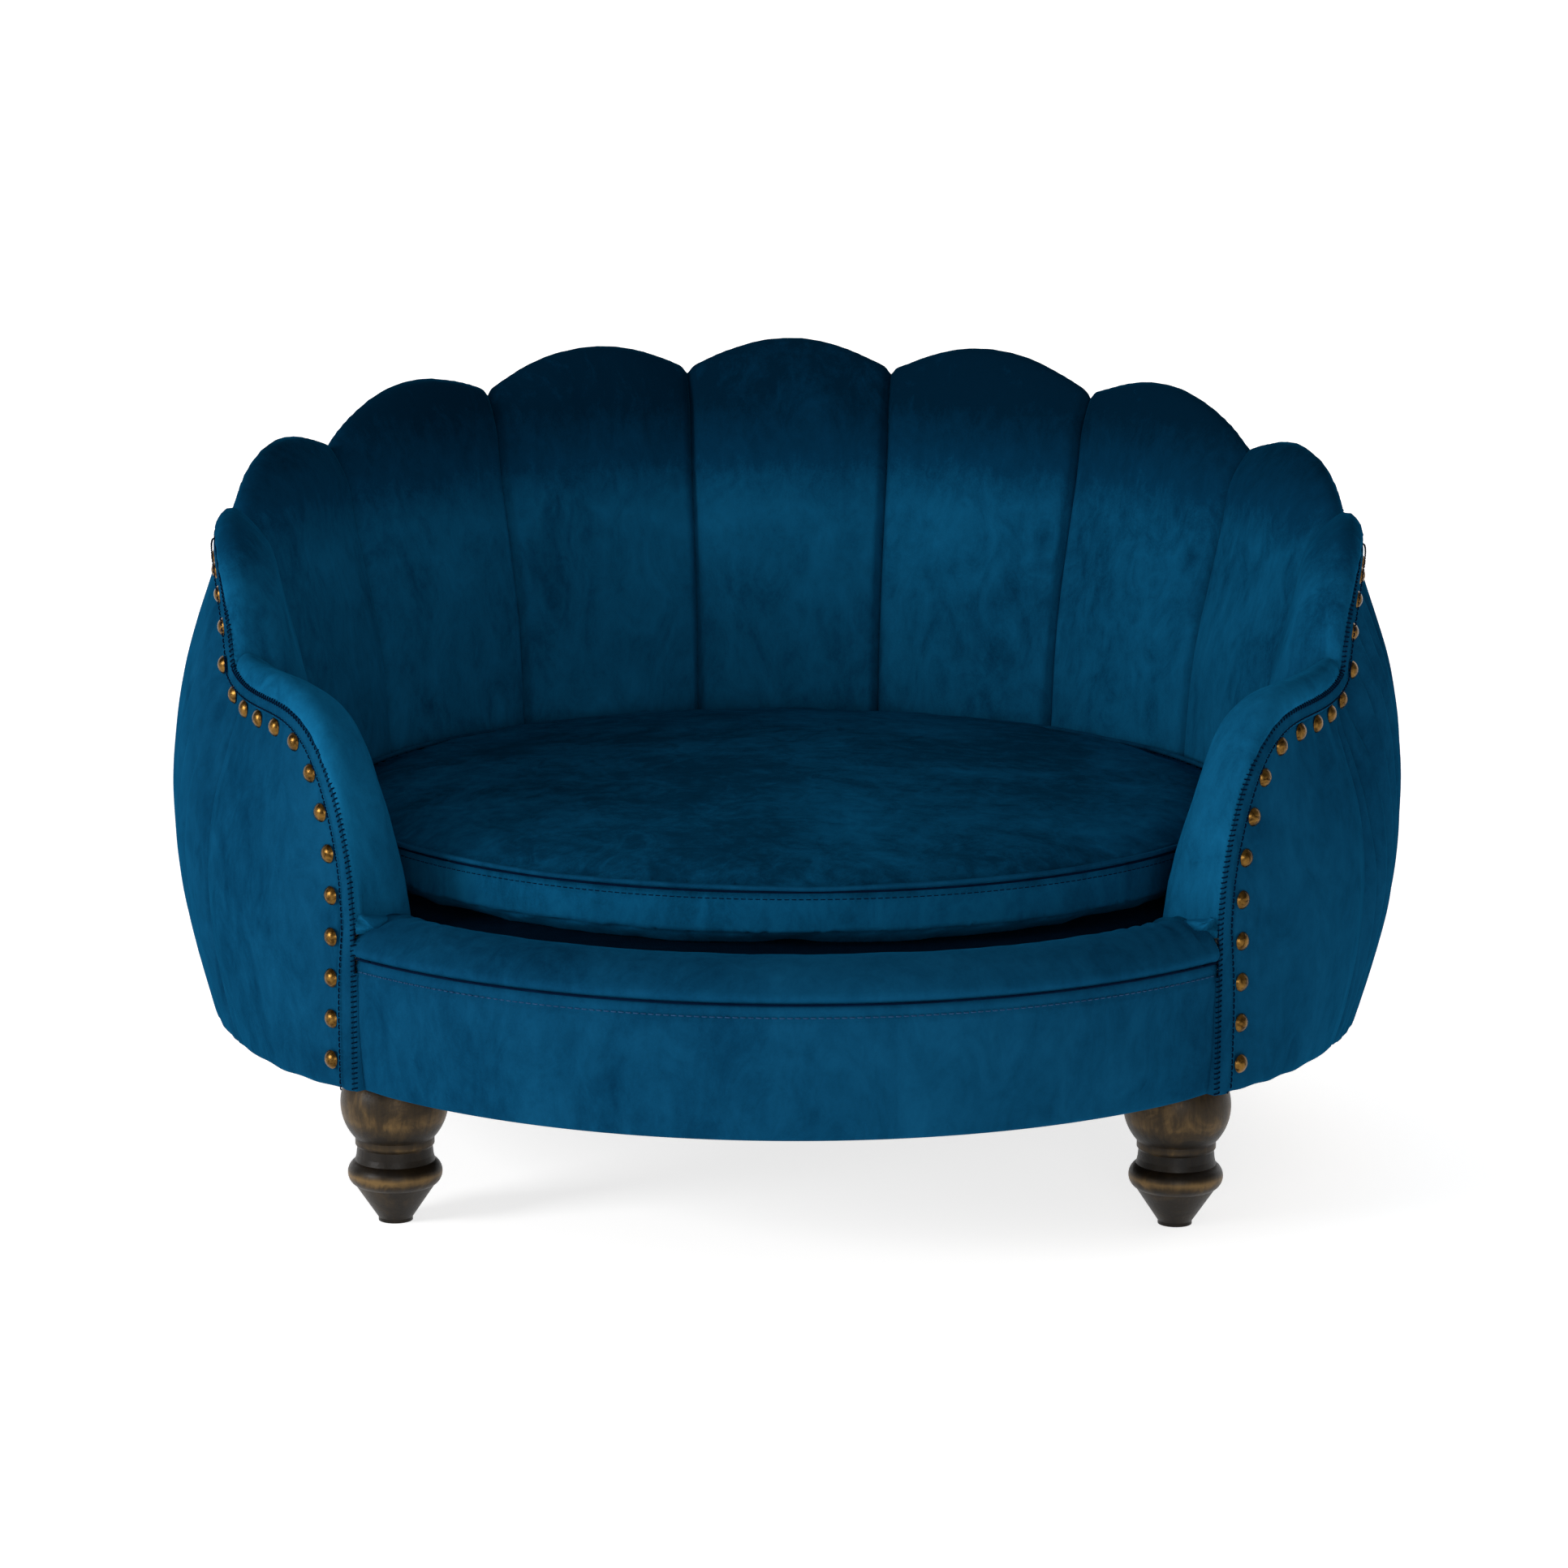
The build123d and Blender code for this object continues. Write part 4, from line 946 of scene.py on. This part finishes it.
def make_edge_stitches(name, inset, pitch, half_length, out, lift, crossing):
    """Small thread stitches along the rim, across the line or along it."""
    line = edge_line(inset, pitch)
    groups = []
    for (angle, height), (next_angle, next_height) in zip(line, line[1:]):
        edge = cover_radius(angle, height)
        radius = between(SEAM_RADIUS, edge, inset / STRIP_WIDTH) + out
        here, there = place(angle, radius, height), place(next_angle, radius, next_height)
        along = (there - here).normalized()
        outward = outward_at(angle)
        across = along.cross(outward).normalized()
        way = (across + along * WHIP_LEAN).normalized() if crossing else along
        middle = (here + there) / 2
        points = [middle + way * half_length * MM * t + outward * lift * MM * (1 - t * t)
                  for t in (-1, -0.5, 0, 0.5, 1)]
        groups.append(tube_points(points, EDGE_THREAD * MM, 5))
    new_object(join_rings(name, groups), "thread")


make_strip()
make_edge_stitches("rim_whip_stitches", inset=0, pitch=3.0, half_length=2.2, out=0.4, lift=1.9,
                   crossing=True)
make_edge_stitches("rim_second_stitches", inset=STRIP_WIDTH - 2.4, pitch=3.6, half_length=1.3,
                   out=3.1, lift=0.5, crossing=False)


# Bow-front rail: padded face, rolled top, double seam
RAIL_END = 135.0
RAIL_END_SPAN = 180 - RAIL_END
RAIL_END_PRESS = 0.5
RAIL_END_SWELL = 1.5
RAIL_ROWS = 40
RAIL_COLUMNS = 150
RAIL_ARC = 6.1
RAIL_INNER = 299.5
RAIL_BOW_SET = 4
RAIL_BOW_DROP = 5
FACE_REACH = 4
FACE_DEPTH = 10
FACE_GROOVE_DROP = 7.2
ROLL_STEP = 10.3
# Radius past the rail's bow, and share of the height, from the face's hem to near its top
FACE_BELLY = ((-1.2, 0), (0.4, 0.05), (2.7, 0.3), (3.4, 0.6), (3.6, 0.85))
# Upright folds of the face: distance along the rail and depth
FACE_FOLDS = ((118, 1.7), (160, 1.3), (-96, 0.8))


def rail_radius(angle):
    """Radius of the rail's bow at a plan angle."""
    turn, end = radians(180 - abs(angle)), radians(180 - RAIL_END)
    front = RAIL_FRONT - RAIL_BOW_SET
    ends = front - RAIL_BOW_DROP
    half, bow = ends * sin(end), front - ends * cos(end)
    radius = (half**2 + bow**2) / (2 * bow)
    shift = front - radius
    return shift * cos(turn) + sqrt(radius**2 - (shift * sin(turn)) ** 2)


def face_section(turn):
    """Rail face in section at an angle from the middle of the front, right positive."""
    angle = 180 - turn
    along = turn * RAIL_ARC
    radius = rail_radius(angle)
    top = RAIL_SEAM - 0.2
    points = [(radius + out, between(UNDERSIDE, top, share)) for out, share in FACE_BELLY]
    points += [(radius + 2.2, top - 1.6), (radius + 0.8, top)]
    line = smooth_line(points, RAIL_ROWS)
    near_end = 1 - ease(0, 5, RAIL_END_SPAN - abs(turn))
    amounts = []
    for _, height in line:
        amount = 0.8 * soft_noise(angle, height, 80, 31) + 0.35 * soft_noise(angle, height, 22, 32)
        amount -= 1.0 * bump(height - (top - FACE_GROOVE_DROP), 1.3)
        for middle, depth in FACE_FOLDS:
            fold = bump(along - middle - 0.12 * (height - 120), 4.5)
            amount -= depth * fold * ease(100, 140, height) * (1 - ease(top - 14, top - 5, height))
        amounts.append(RAIL_END_SWELL * near_end - amount * ease(0, 8, height - UNDERSIDE))
    face = push(line, amounts)
    face[0] = (face[0][0], UNDERSIDE)
    return face + [(radius - FACE_DEPTH, top), (radius - FACE_DEPTH, UNDERSIDE)]


def roll_section(turn):
    """Rolled top of the rail in section."""
    angle = 180 - turn
    along = turn * RAIL_ARC
    from_end = RAIL_END_SPAN * RAIL_ARC - abs(along)
    face = rail_radius(angle) + FACE_REACH
    step = rail_radius(angle) - ROLL_STEP
    points = [(face - 3.0, RAIL_SEAM), (face - 0.6, RAIL_SEAM + 1.4), (face + 0.2, RAIL_SEAM + 6)]
    for share, rise in ((0.18, -5.2), (0.42, -0.5), (0.7, 0.4), (0.93, -5)):
        points.append((between(face, RAIL_INNER, share), RAIL_TOP + rise))
    points += [(RAIL_INNER, RAIL_TOP - 14), (RAIL_INNER + 0.5, DECK_TOP + 0.5)]
    line = smooth_line(points, RAIL_ROWS)
    gathered, tight = 1 - ease(0, 80, from_end), 1 - ease(4, 34, from_end)
    gather_depth, pucker_depth = (1.0, 2.4) if turn > 0 else (0.5, 0.8)
    amounts = []
    for index, (radius, _) in enumerate(line):
        amount = 0.9 * soft_noise(angle, radius, 45, 41) + 0.4 * soft_noise(angle, radius, 15, 42)
        gather = sin(2 * pi * along / 13 + 0.12 * radius)
        pucker = sin(2 * pi * along / 9.5 + 3 * soft_noise(angle, radius, 30, 43))
        amount += gather_depth * gather * gathered + pucker_depth * pucker * tight
        amounts.append(-amount * ease(0, 4, index) * ease(0, 5, RAIL_ROWS - 1 - index))
    roll = push(line, amounts)
    roll[0] = (roll[0][0], RAIL_SEAM)
    return roll + [(step, DECK_TOP + 0.5), (step, RAIL_SEAM)]


def make_rail(name, node, section):
    """One padded length of the rail along its bow."""
    rings = []
    for column in range(RAIL_COLUMNS + 1):
        turn = between(-RAIL_END_SPAN, RAIL_END_SPAN, column / RAIL_COLUMNS)
        pressed = turn * (1 + RAIL_END_PRESS / RAIL_END_SPAN)
        rings.append([place(180 - pressed, *point) for point in section(turn)])
    piece = new_object(ring_mesh(name, rings), "velvet")
    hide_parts(node)


def make_rail_stitches():
    """Dashed top-stitching a little below the rail's seam, and a dark tube along the seam as painted
    shade.
    """
    count, margin = 128, 0.5
    groups = []
    for number in range(count):
        turn = between(margin - RAIL_END_SPAN, RAIL_END_SPAN - margin, number / (count - 1))
        groups.append(arc_stitch(180 - turn, -0.24, lambda here: rail_radius(here) + 2.9, 0.35,
                                 RAIL_SEAM - 7.4, 0.38))
    new_object(join_rings("rail_top_stitches", groups), "pale_thread")
    # Dark thread-coloured tube along the seam: painted shade
    steps = 200
    turns = [between(-RAIL_END_SPAN, RAIL_END_SPAN, step / steps) for step in range(steps + 1)]
    seam = [place(180 - turn, rail_radius(180 - turn) + 3.4, RAIL_SEAM) for turn in turns]
    new_object(join_rings("rail_seam_line", [tube_points(seam, 0.75 * MM)]), "thread")


make_rail("velvet_rail_face", "front_rail_face", face_section)
make_rail("velvet_rail_roll", "front_rail_roll", roll_section)
make_rail_stitches()


# Loose cushion: simulated, then sewn
CROWN = 19
TOP_SEAM = CUSHION_TOP - CROWN
SLACK = 3.5
CLOTH_CAP = 6.0
CLOTH_FRAMES = 20
CLOTH_PRESSURE = 4
VOXEL = 0.005
SECTION_POINTS = 60
SECTION_STEPS = 180
BOXING_TURNS = (58, 75)
BOXING_SLANT = 2.1
BOXING_PITCH = 33
FRONT_TURNS = (60, 80)
FRONT_SWELL = 2.2
FRONT_SLACK = 4.0
WALL_PRESS = 3.2
GROOVE_DEPTH = 2.0
ZIP_TURN = 63
ZIP_FACE = 271.4
ROLL_RADIUS = 1.5


def cushion_section():
    """Half section of the cushion before it is filled, a little smaller than it ends."""
    edge = CUSHION_RADIUS - SLACK
    return [(0, CUSHION_BOTTOM + 0.6), (120, CUSHION_BOTTOM + 0.6), (228, CUSHION_BOTTOM + 0.7),
            (262, CUSHION_BOTTOM + 3.2), (edge - 2, CUSHION_LOW_SEAM), (edge, CUSHION_LOW_SEAM + 8),
            (edge + 0.5, between(CUSHION_LOW_SEAM, TOP_SEAM, 0.5)), (edge, TOP_SEAM - 6),
            (edge - 1.5, TOP_SEAM - 1), (edge - 8, TOP_SEAM + 1.5), (240, TOP_SEAM + 3.2),
            (180, TOP_SEAM + 8.6), (100, TOP_SEAM + 13), (0, TOP_SEAM + 15.5)]


def revolved(name, section, steps):
    """Closed mesh turned about the ring's axis from a half section."""
    mesh = bpy.data.meshes.new(name)
    work = bmesh.new()
    rings = []
    for radius, height in section:
        if radius == 0:
            rings.append([work.verts.new(place(0, 0, height))])
        else:
            rings.append([work.verts.new(place(360 * step / steps, radius, height))
                          for step in range(steps)])
    for lower, upper in zip(rings, rings[1:]):
        for step in range(steps):
            follow = (step + 1) % steps
            corners = [lower[step % len(lower)], lower[follow % len(lower)],
                       upper[follow % len(upper)], upper[step % len(upper)]]
            work.faces.new(list(dict.fromkeys(corners)))
    bmesh.ops.recalc_face_normals(work, faces=work.faces)
    work.to_mesh(mesh)
    work.free()
    return mesh


def inflate(piece):
    """Fill the cushion by a short cloth simulation, with a cap on how far a point moves."""
    bpy.context.view_layer.objects.active = piece
    remesh = piece.modifiers.new("Remesh", "REMESH")
    remesh.mode = "VOXEL"
    remesh.voxel_size = VOXEL
    bpy.ops.object.modifier_apply(modifier=remesh.name)
    start = [vertex.co.copy() for vertex in piece.data.vertices]
    cloth = piece.modifiers.new("Cloth", "CLOTH")
    cloth.settings.use_pressure = True
    cloth.settings.uniform_pressure_force = CLOTH_PRESSURE
    cloth.settings.quality = 4
    cloth.settings.effector_weights.gravity = 0
    cloth.point_cache.frame_start = 1
    cloth.point_cache.frame_end = CLOTH_FRAMES
    for step in range(1, CLOTH_FRAMES + 1):
        bpy.context.scene.frame_set(step)
    filled = piece.evaluated_get(bpy.context.evaluated_depsgraph_get()).data
    ends = [vertex.co.copy() for vertex in filled.vertices]
    piece.modifiers.remove(cloth)
    for vertex, first, last in zip(piece.data.vertices, start, ends):
        move = last - first
        if move.length > CLOTH_CAP * MM:
            move = move.normalized() * CLOTH_CAP * MM
        vertex.co = first + move
    bpy.context.scene.frame_set(1)


def boxing_folds(angle, height):
    """Diagonal slack wrinkles in the cushion's front side wall."""
    front = 180 - abs(angle)
    if front > BOXING_TURNS[1]:
        return 0
    along = CUSHION_RADIUS * radians(180 - angle if angle > 0 else -180 - angle)
    slant = along - BOXING_SLANT * (height - CUSHION_LOW_SEAM)
    wave = sin(2 * pi * slant / BOXING_PITCH + 3.0 * soft_noise(angle, height, 70, 51))
    strength = between(0.9, 2.8, ease(20, 160, -along)) + 1.2 * soft_noise(angle, 0, 60, 52)
    inside = ease(CUSHION_LOW_SEAM - 4, CUSHION_LOW_SEAM + 6, height) * (
        1 - ease(TOP_SEAM - 8, TOP_SEAM - 2, height))
    return strength * wave * inside * (1 - ease(*BOXING_TURNS, front))


def sew_side(angle, radius, height):
    """Radius and height of a point near the cushion's edge, with its folds and seam."""
    limit = CUSHION_RADIUS - 0.6
    side = ease(250, 272, radius)
    groove = GROOVE_DEPTH * bump(hypot(radius - limit, height - TOP_SEAM), 2.6)
    radius += boxing_folds(angle, height) * side - groove
    height += 0.6 * side * soft_noise(angle, height, 40, 53)
    height += bump(radius - (CUSHION_RADIUS - 4), 3.0) * ease(TOP_SEAM - 2, TOP_SEAM + 2, height)
    front = 1 - ease(*FRONT_TURNS, 180 - abs(angle))
    radius = min(radius, limit + FRONT_SWELL * front)
    if CUSHION_LOW_SEAM + 3 < height < TOP_SEAM + 1 and radius > CUSHION_RADIUS - 14:
        radius = max(radius, CUSHION_RADIUS - WALL_PRESS - groove - FRONT_SLACK * front)
    return radius, height


def sew(piece):
    """Seams, wrinkles and the zip's recess, after the filling."""
    for vertex in piece.data.vertices:
        spot = vertex.co / MM
        across, deep = spot.x, spot.y - RING_Y
        radius, angle = hypot(across, deep), degrees(atan2(across, deep))
        height = spot.z
        if radius > 200:
            radius, height = sew_side(angle, radius, height)
        top = ease(TOP_SEAM, TOP_SEAM + 4, height)
        height += top * (1.6 * noise.noise(Vector((across, deep, 0)) / 110)
                         + 0.6 * noise.noise(Vector((across, deep, 90)) / 34))
        if abs(angle) < ZIP_TURN and ZIP_LOW - 1 < height < ZIP_HIGH + 1 and radius > 255:
            radius = min(radius, ZIP_FACE)
        height = clamp(height, CUSHION_BOTTOM + 0.3, CUSHION_TOP + 5)
        vertex.co = place(angle, radius, height)


def make_cushion():
    """Crowned velvet cushion with its zip recess at the back."""
    section = smooth_line(cushion_section(), SECTION_POINTS)
    section[0], section[-1] = (0, section[0][1]), (0, section[-1][1])
    mesh = revolved("velvet_cushion", section, SECTION_STEPS)
    piece = new_object(mesh, "seat_velvet", "cushion")
    inflate(piece)
    smooth = piece.modifiers.new("Subdivision", "SUBSURF")
    smooth.levels = smooth.render_levels = 1
    bpy.ops.object.modifier_apply(modifier=smooth.name)
    sew(piece)
    shade_smooth(piece.data)
    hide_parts("cushion_top_panel", "cushion_bottom_panel", "cushion_side_band",
                "cushion_foam")


def make_cushion_trim():
    """Rolled seam round the cushion's top, the dashed line just below it, and a dark tube in the
    groove under the seam as painted shade.
    """
    rings = []
    up = Vector((0, 0, 1))
    for step in range(360):
        angle = float(step)
        middle = place(angle, CUSHION_RADIUS - 1.9, TOP_SEAM + 0.8 * soft_noise(angle, 0, 60, 61))
        outward = outward_at(angle)
        rings.append([middle + (outward * cos(turn) + up * sin(turn)) * ROLL_RADIUS * MM
                      for turn in (2 * pi * side / 8 for side in range(8))])
    new_object(ring_mesh("cushion_seam_roll", rings, closed=True), "velvet", "cushion")
    # Dark thread-coloured tube in the groove under the seam: painted shade
    groove = [place(angle, CUSHION_RADIUS - 1.3, TOP_SEAM - 2.1) for angle in range(361)]
    groups = [tube_points(groove, 0.7 * MM)]
    count = 430
    for number in range(count):
        angle = 360 * number / count
        if abs((angle + 180) % 360 - 180) > ZIP_TURN + 1:
            groups.append(arc_stitch(angle, 0.27, lambda here: CUSHION_RADIUS - 0.9, 0.2,
                                     TOP_SEAM - 6.2, 0.3))
    new_object(join_rings("cushion_stitches_and_groove_shade", groups), "thread", "cushion")


make_cushion()
make_cushion_trim()


# Deck cloth over its foam
DECK_SHARES = ((1.0, 0), (1.0, 0.7))
DECK_EDGE = ((0.992, 1.2), (0.97, 0.1), (0.6, 0), (0.05, 0))
DECK_CLEARANCE = 0.4


def make_deck():
    """Deck pad under the cushion, slightly puffed at its edge."""
    low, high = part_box("deck_foam")[0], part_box("deck_cover")[1]
    bottom, top = low.z / MM, high.z / MM
    edge, front = high.x / MM, RING_Y - low.y / MM
    spread = 180 - ARM_END
    outline = []
    steps = 240
    for step in range(steps):
        angle = 360 * step / steps - 180
        nearness = 1 - ease(0.75, 1.0, (180 - abs(angle)) / spread)
        outline.append((angle, edge + (front - edge) * nearness))
    levels = [(share, between(bottom, top, rise)) for share, rise in DECK_SHARES]
    levels += [(share, top - drop) for share, drop in DECK_EDGE]
    rings = [[place(angle, radius * share - DECK_CLEARANCE, height) for angle, radius in outline]
             for share, height in levels]
    piece = new_object(ring_mesh("deck_pad", rings), "deck_cloth")
    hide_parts("deck_foam", "deck_cover")


make_deck()


# Floor, lights and camera
FLOOR_HALF_WIDTH = 7.0
SWEEP_START = 3.0
SWEEP_RADIUS = 1.5
SWEEP_STEPS = 24
CAMERA_PLACE = (0, -2.95, 0.8)
CAMERA_AIM = (0, 0, 0.2169)
CAMERA_LENS = 111.8
CAMERA_ROLL = 0.27
PRINCIPAL_SHIFT = -0.0021


def make_floor():
    """Pale floor that sweeps up into a backdrop far behind."""
    mesh = bpy.data.meshes.new("floor")
    rows = []
    for step in range(SWEEP_STEPS):
        turn = pi / 2 * step / (SWEEP_STEPS - 1)
        rows.append((SWEEP_START + SWEEP_RADIUS * sin(turn), SWEEP_RADIUS * (1 - cos(turn))))
    profile = [(-5.0, 0.0), (0.0, 0.0), *rows, (SWEEP_START + SWEEP_RADIUS, 5.0)]
    vertices = [(side * FLOOR_HALF_WIDTH, y, z) for y, z in profile for side in (-1, 1)]
    faces = [(2 * i, 2 * i + 1, 2 * i + 3, 2 * i + 2) for i in range(len(profile) - 1)]
    mesh.from_pydata(vertices, [], faces)
    shade_smooth(mesh)
    floor = in_scene("floor", mesh)
    material, tree, shader = new_material("floor")
    cloud = noise_at(tree, object_spot(tree), 1.5, 3.0)
    tree.links.new(ramp(tree, cloud, [(0.3, (0.78,) * 3), (0.7, (0.8,) * 3)]),
                   shader.inputs["Base Color"])
    set_inputs(shader, Roughness=0.9, Specular_IOR_Level=0.0, Emission_Color=(1, 1, 1, 1),
               Emission_Strength=0.72)
    mesh.materials.append(material)


def add_light(name, spot, aim, size, power):
    """Soft area light aimed at a point."""
    light = bpy.data.lights.new(name, "AREA")
    light.shape = "RECTANGLE"
    light.size, light.size_y = size
    light.energy = power
    lamp = in_scene(name, light)
    lamp.location = spot
    lamp.rotation_euler = (Vector(aim) - Vector(spot)).to_track_quat("-Z", "Y").to_euler()


def make_camera():
    """Camera at the photograph's viewing angle."""
    data = bpy.data.cameras.new("camera")
    data.lens = CAMERA_LENS
    data.sensor_width = 36
    data.shift_x = PRINCIPAL_SHIFT
    camera = in_scene("camera", data)
    camera.location = CAMERA_PLACE
    aim = (Vector(CAMERA_AIM) - Vector(CAMERA_PLACE)).to_track_quat("-Z", "Y").to_matrix().to_4x4()
    roll = aim.Rotation(radians(CAMERA_ROLL), 4, "Z")
    camera.rotation_euler = (aim @ roll).to_euler()
    bpy.context.scene.camera = camera


def make_world():
    """White surroundings near the floor, dimmer overhead."""
    world = bpy.data.worlds.new("surroundings")
    world.use_nodes = True
    tree = world.node_tree
    way = add_node(tree, "ShaderNodeTexCoord").outputs["Generated"]
    tree.links.new(ramp(tree, height_of(tree, way), [(0.08, (0.9,) * 3), (0.3, (0.24,) * 3)]),
                   tree.nodes["Background"].inputs["Color"])
    bpy.context.scene.world = world


make_floor()
add_light("key_left", (-2.4, -1.5, 1.0), (0, -0.1, 0.25), (1.0, 0.9), 46)
add_light("front_fill", (0.3, -3.4, 0.75), (0, 0, 0.25), (1.4, 0.9), 22)
make_world()
make_camera()
bpy.context.scene.view_settings.view_transform = "Standard"
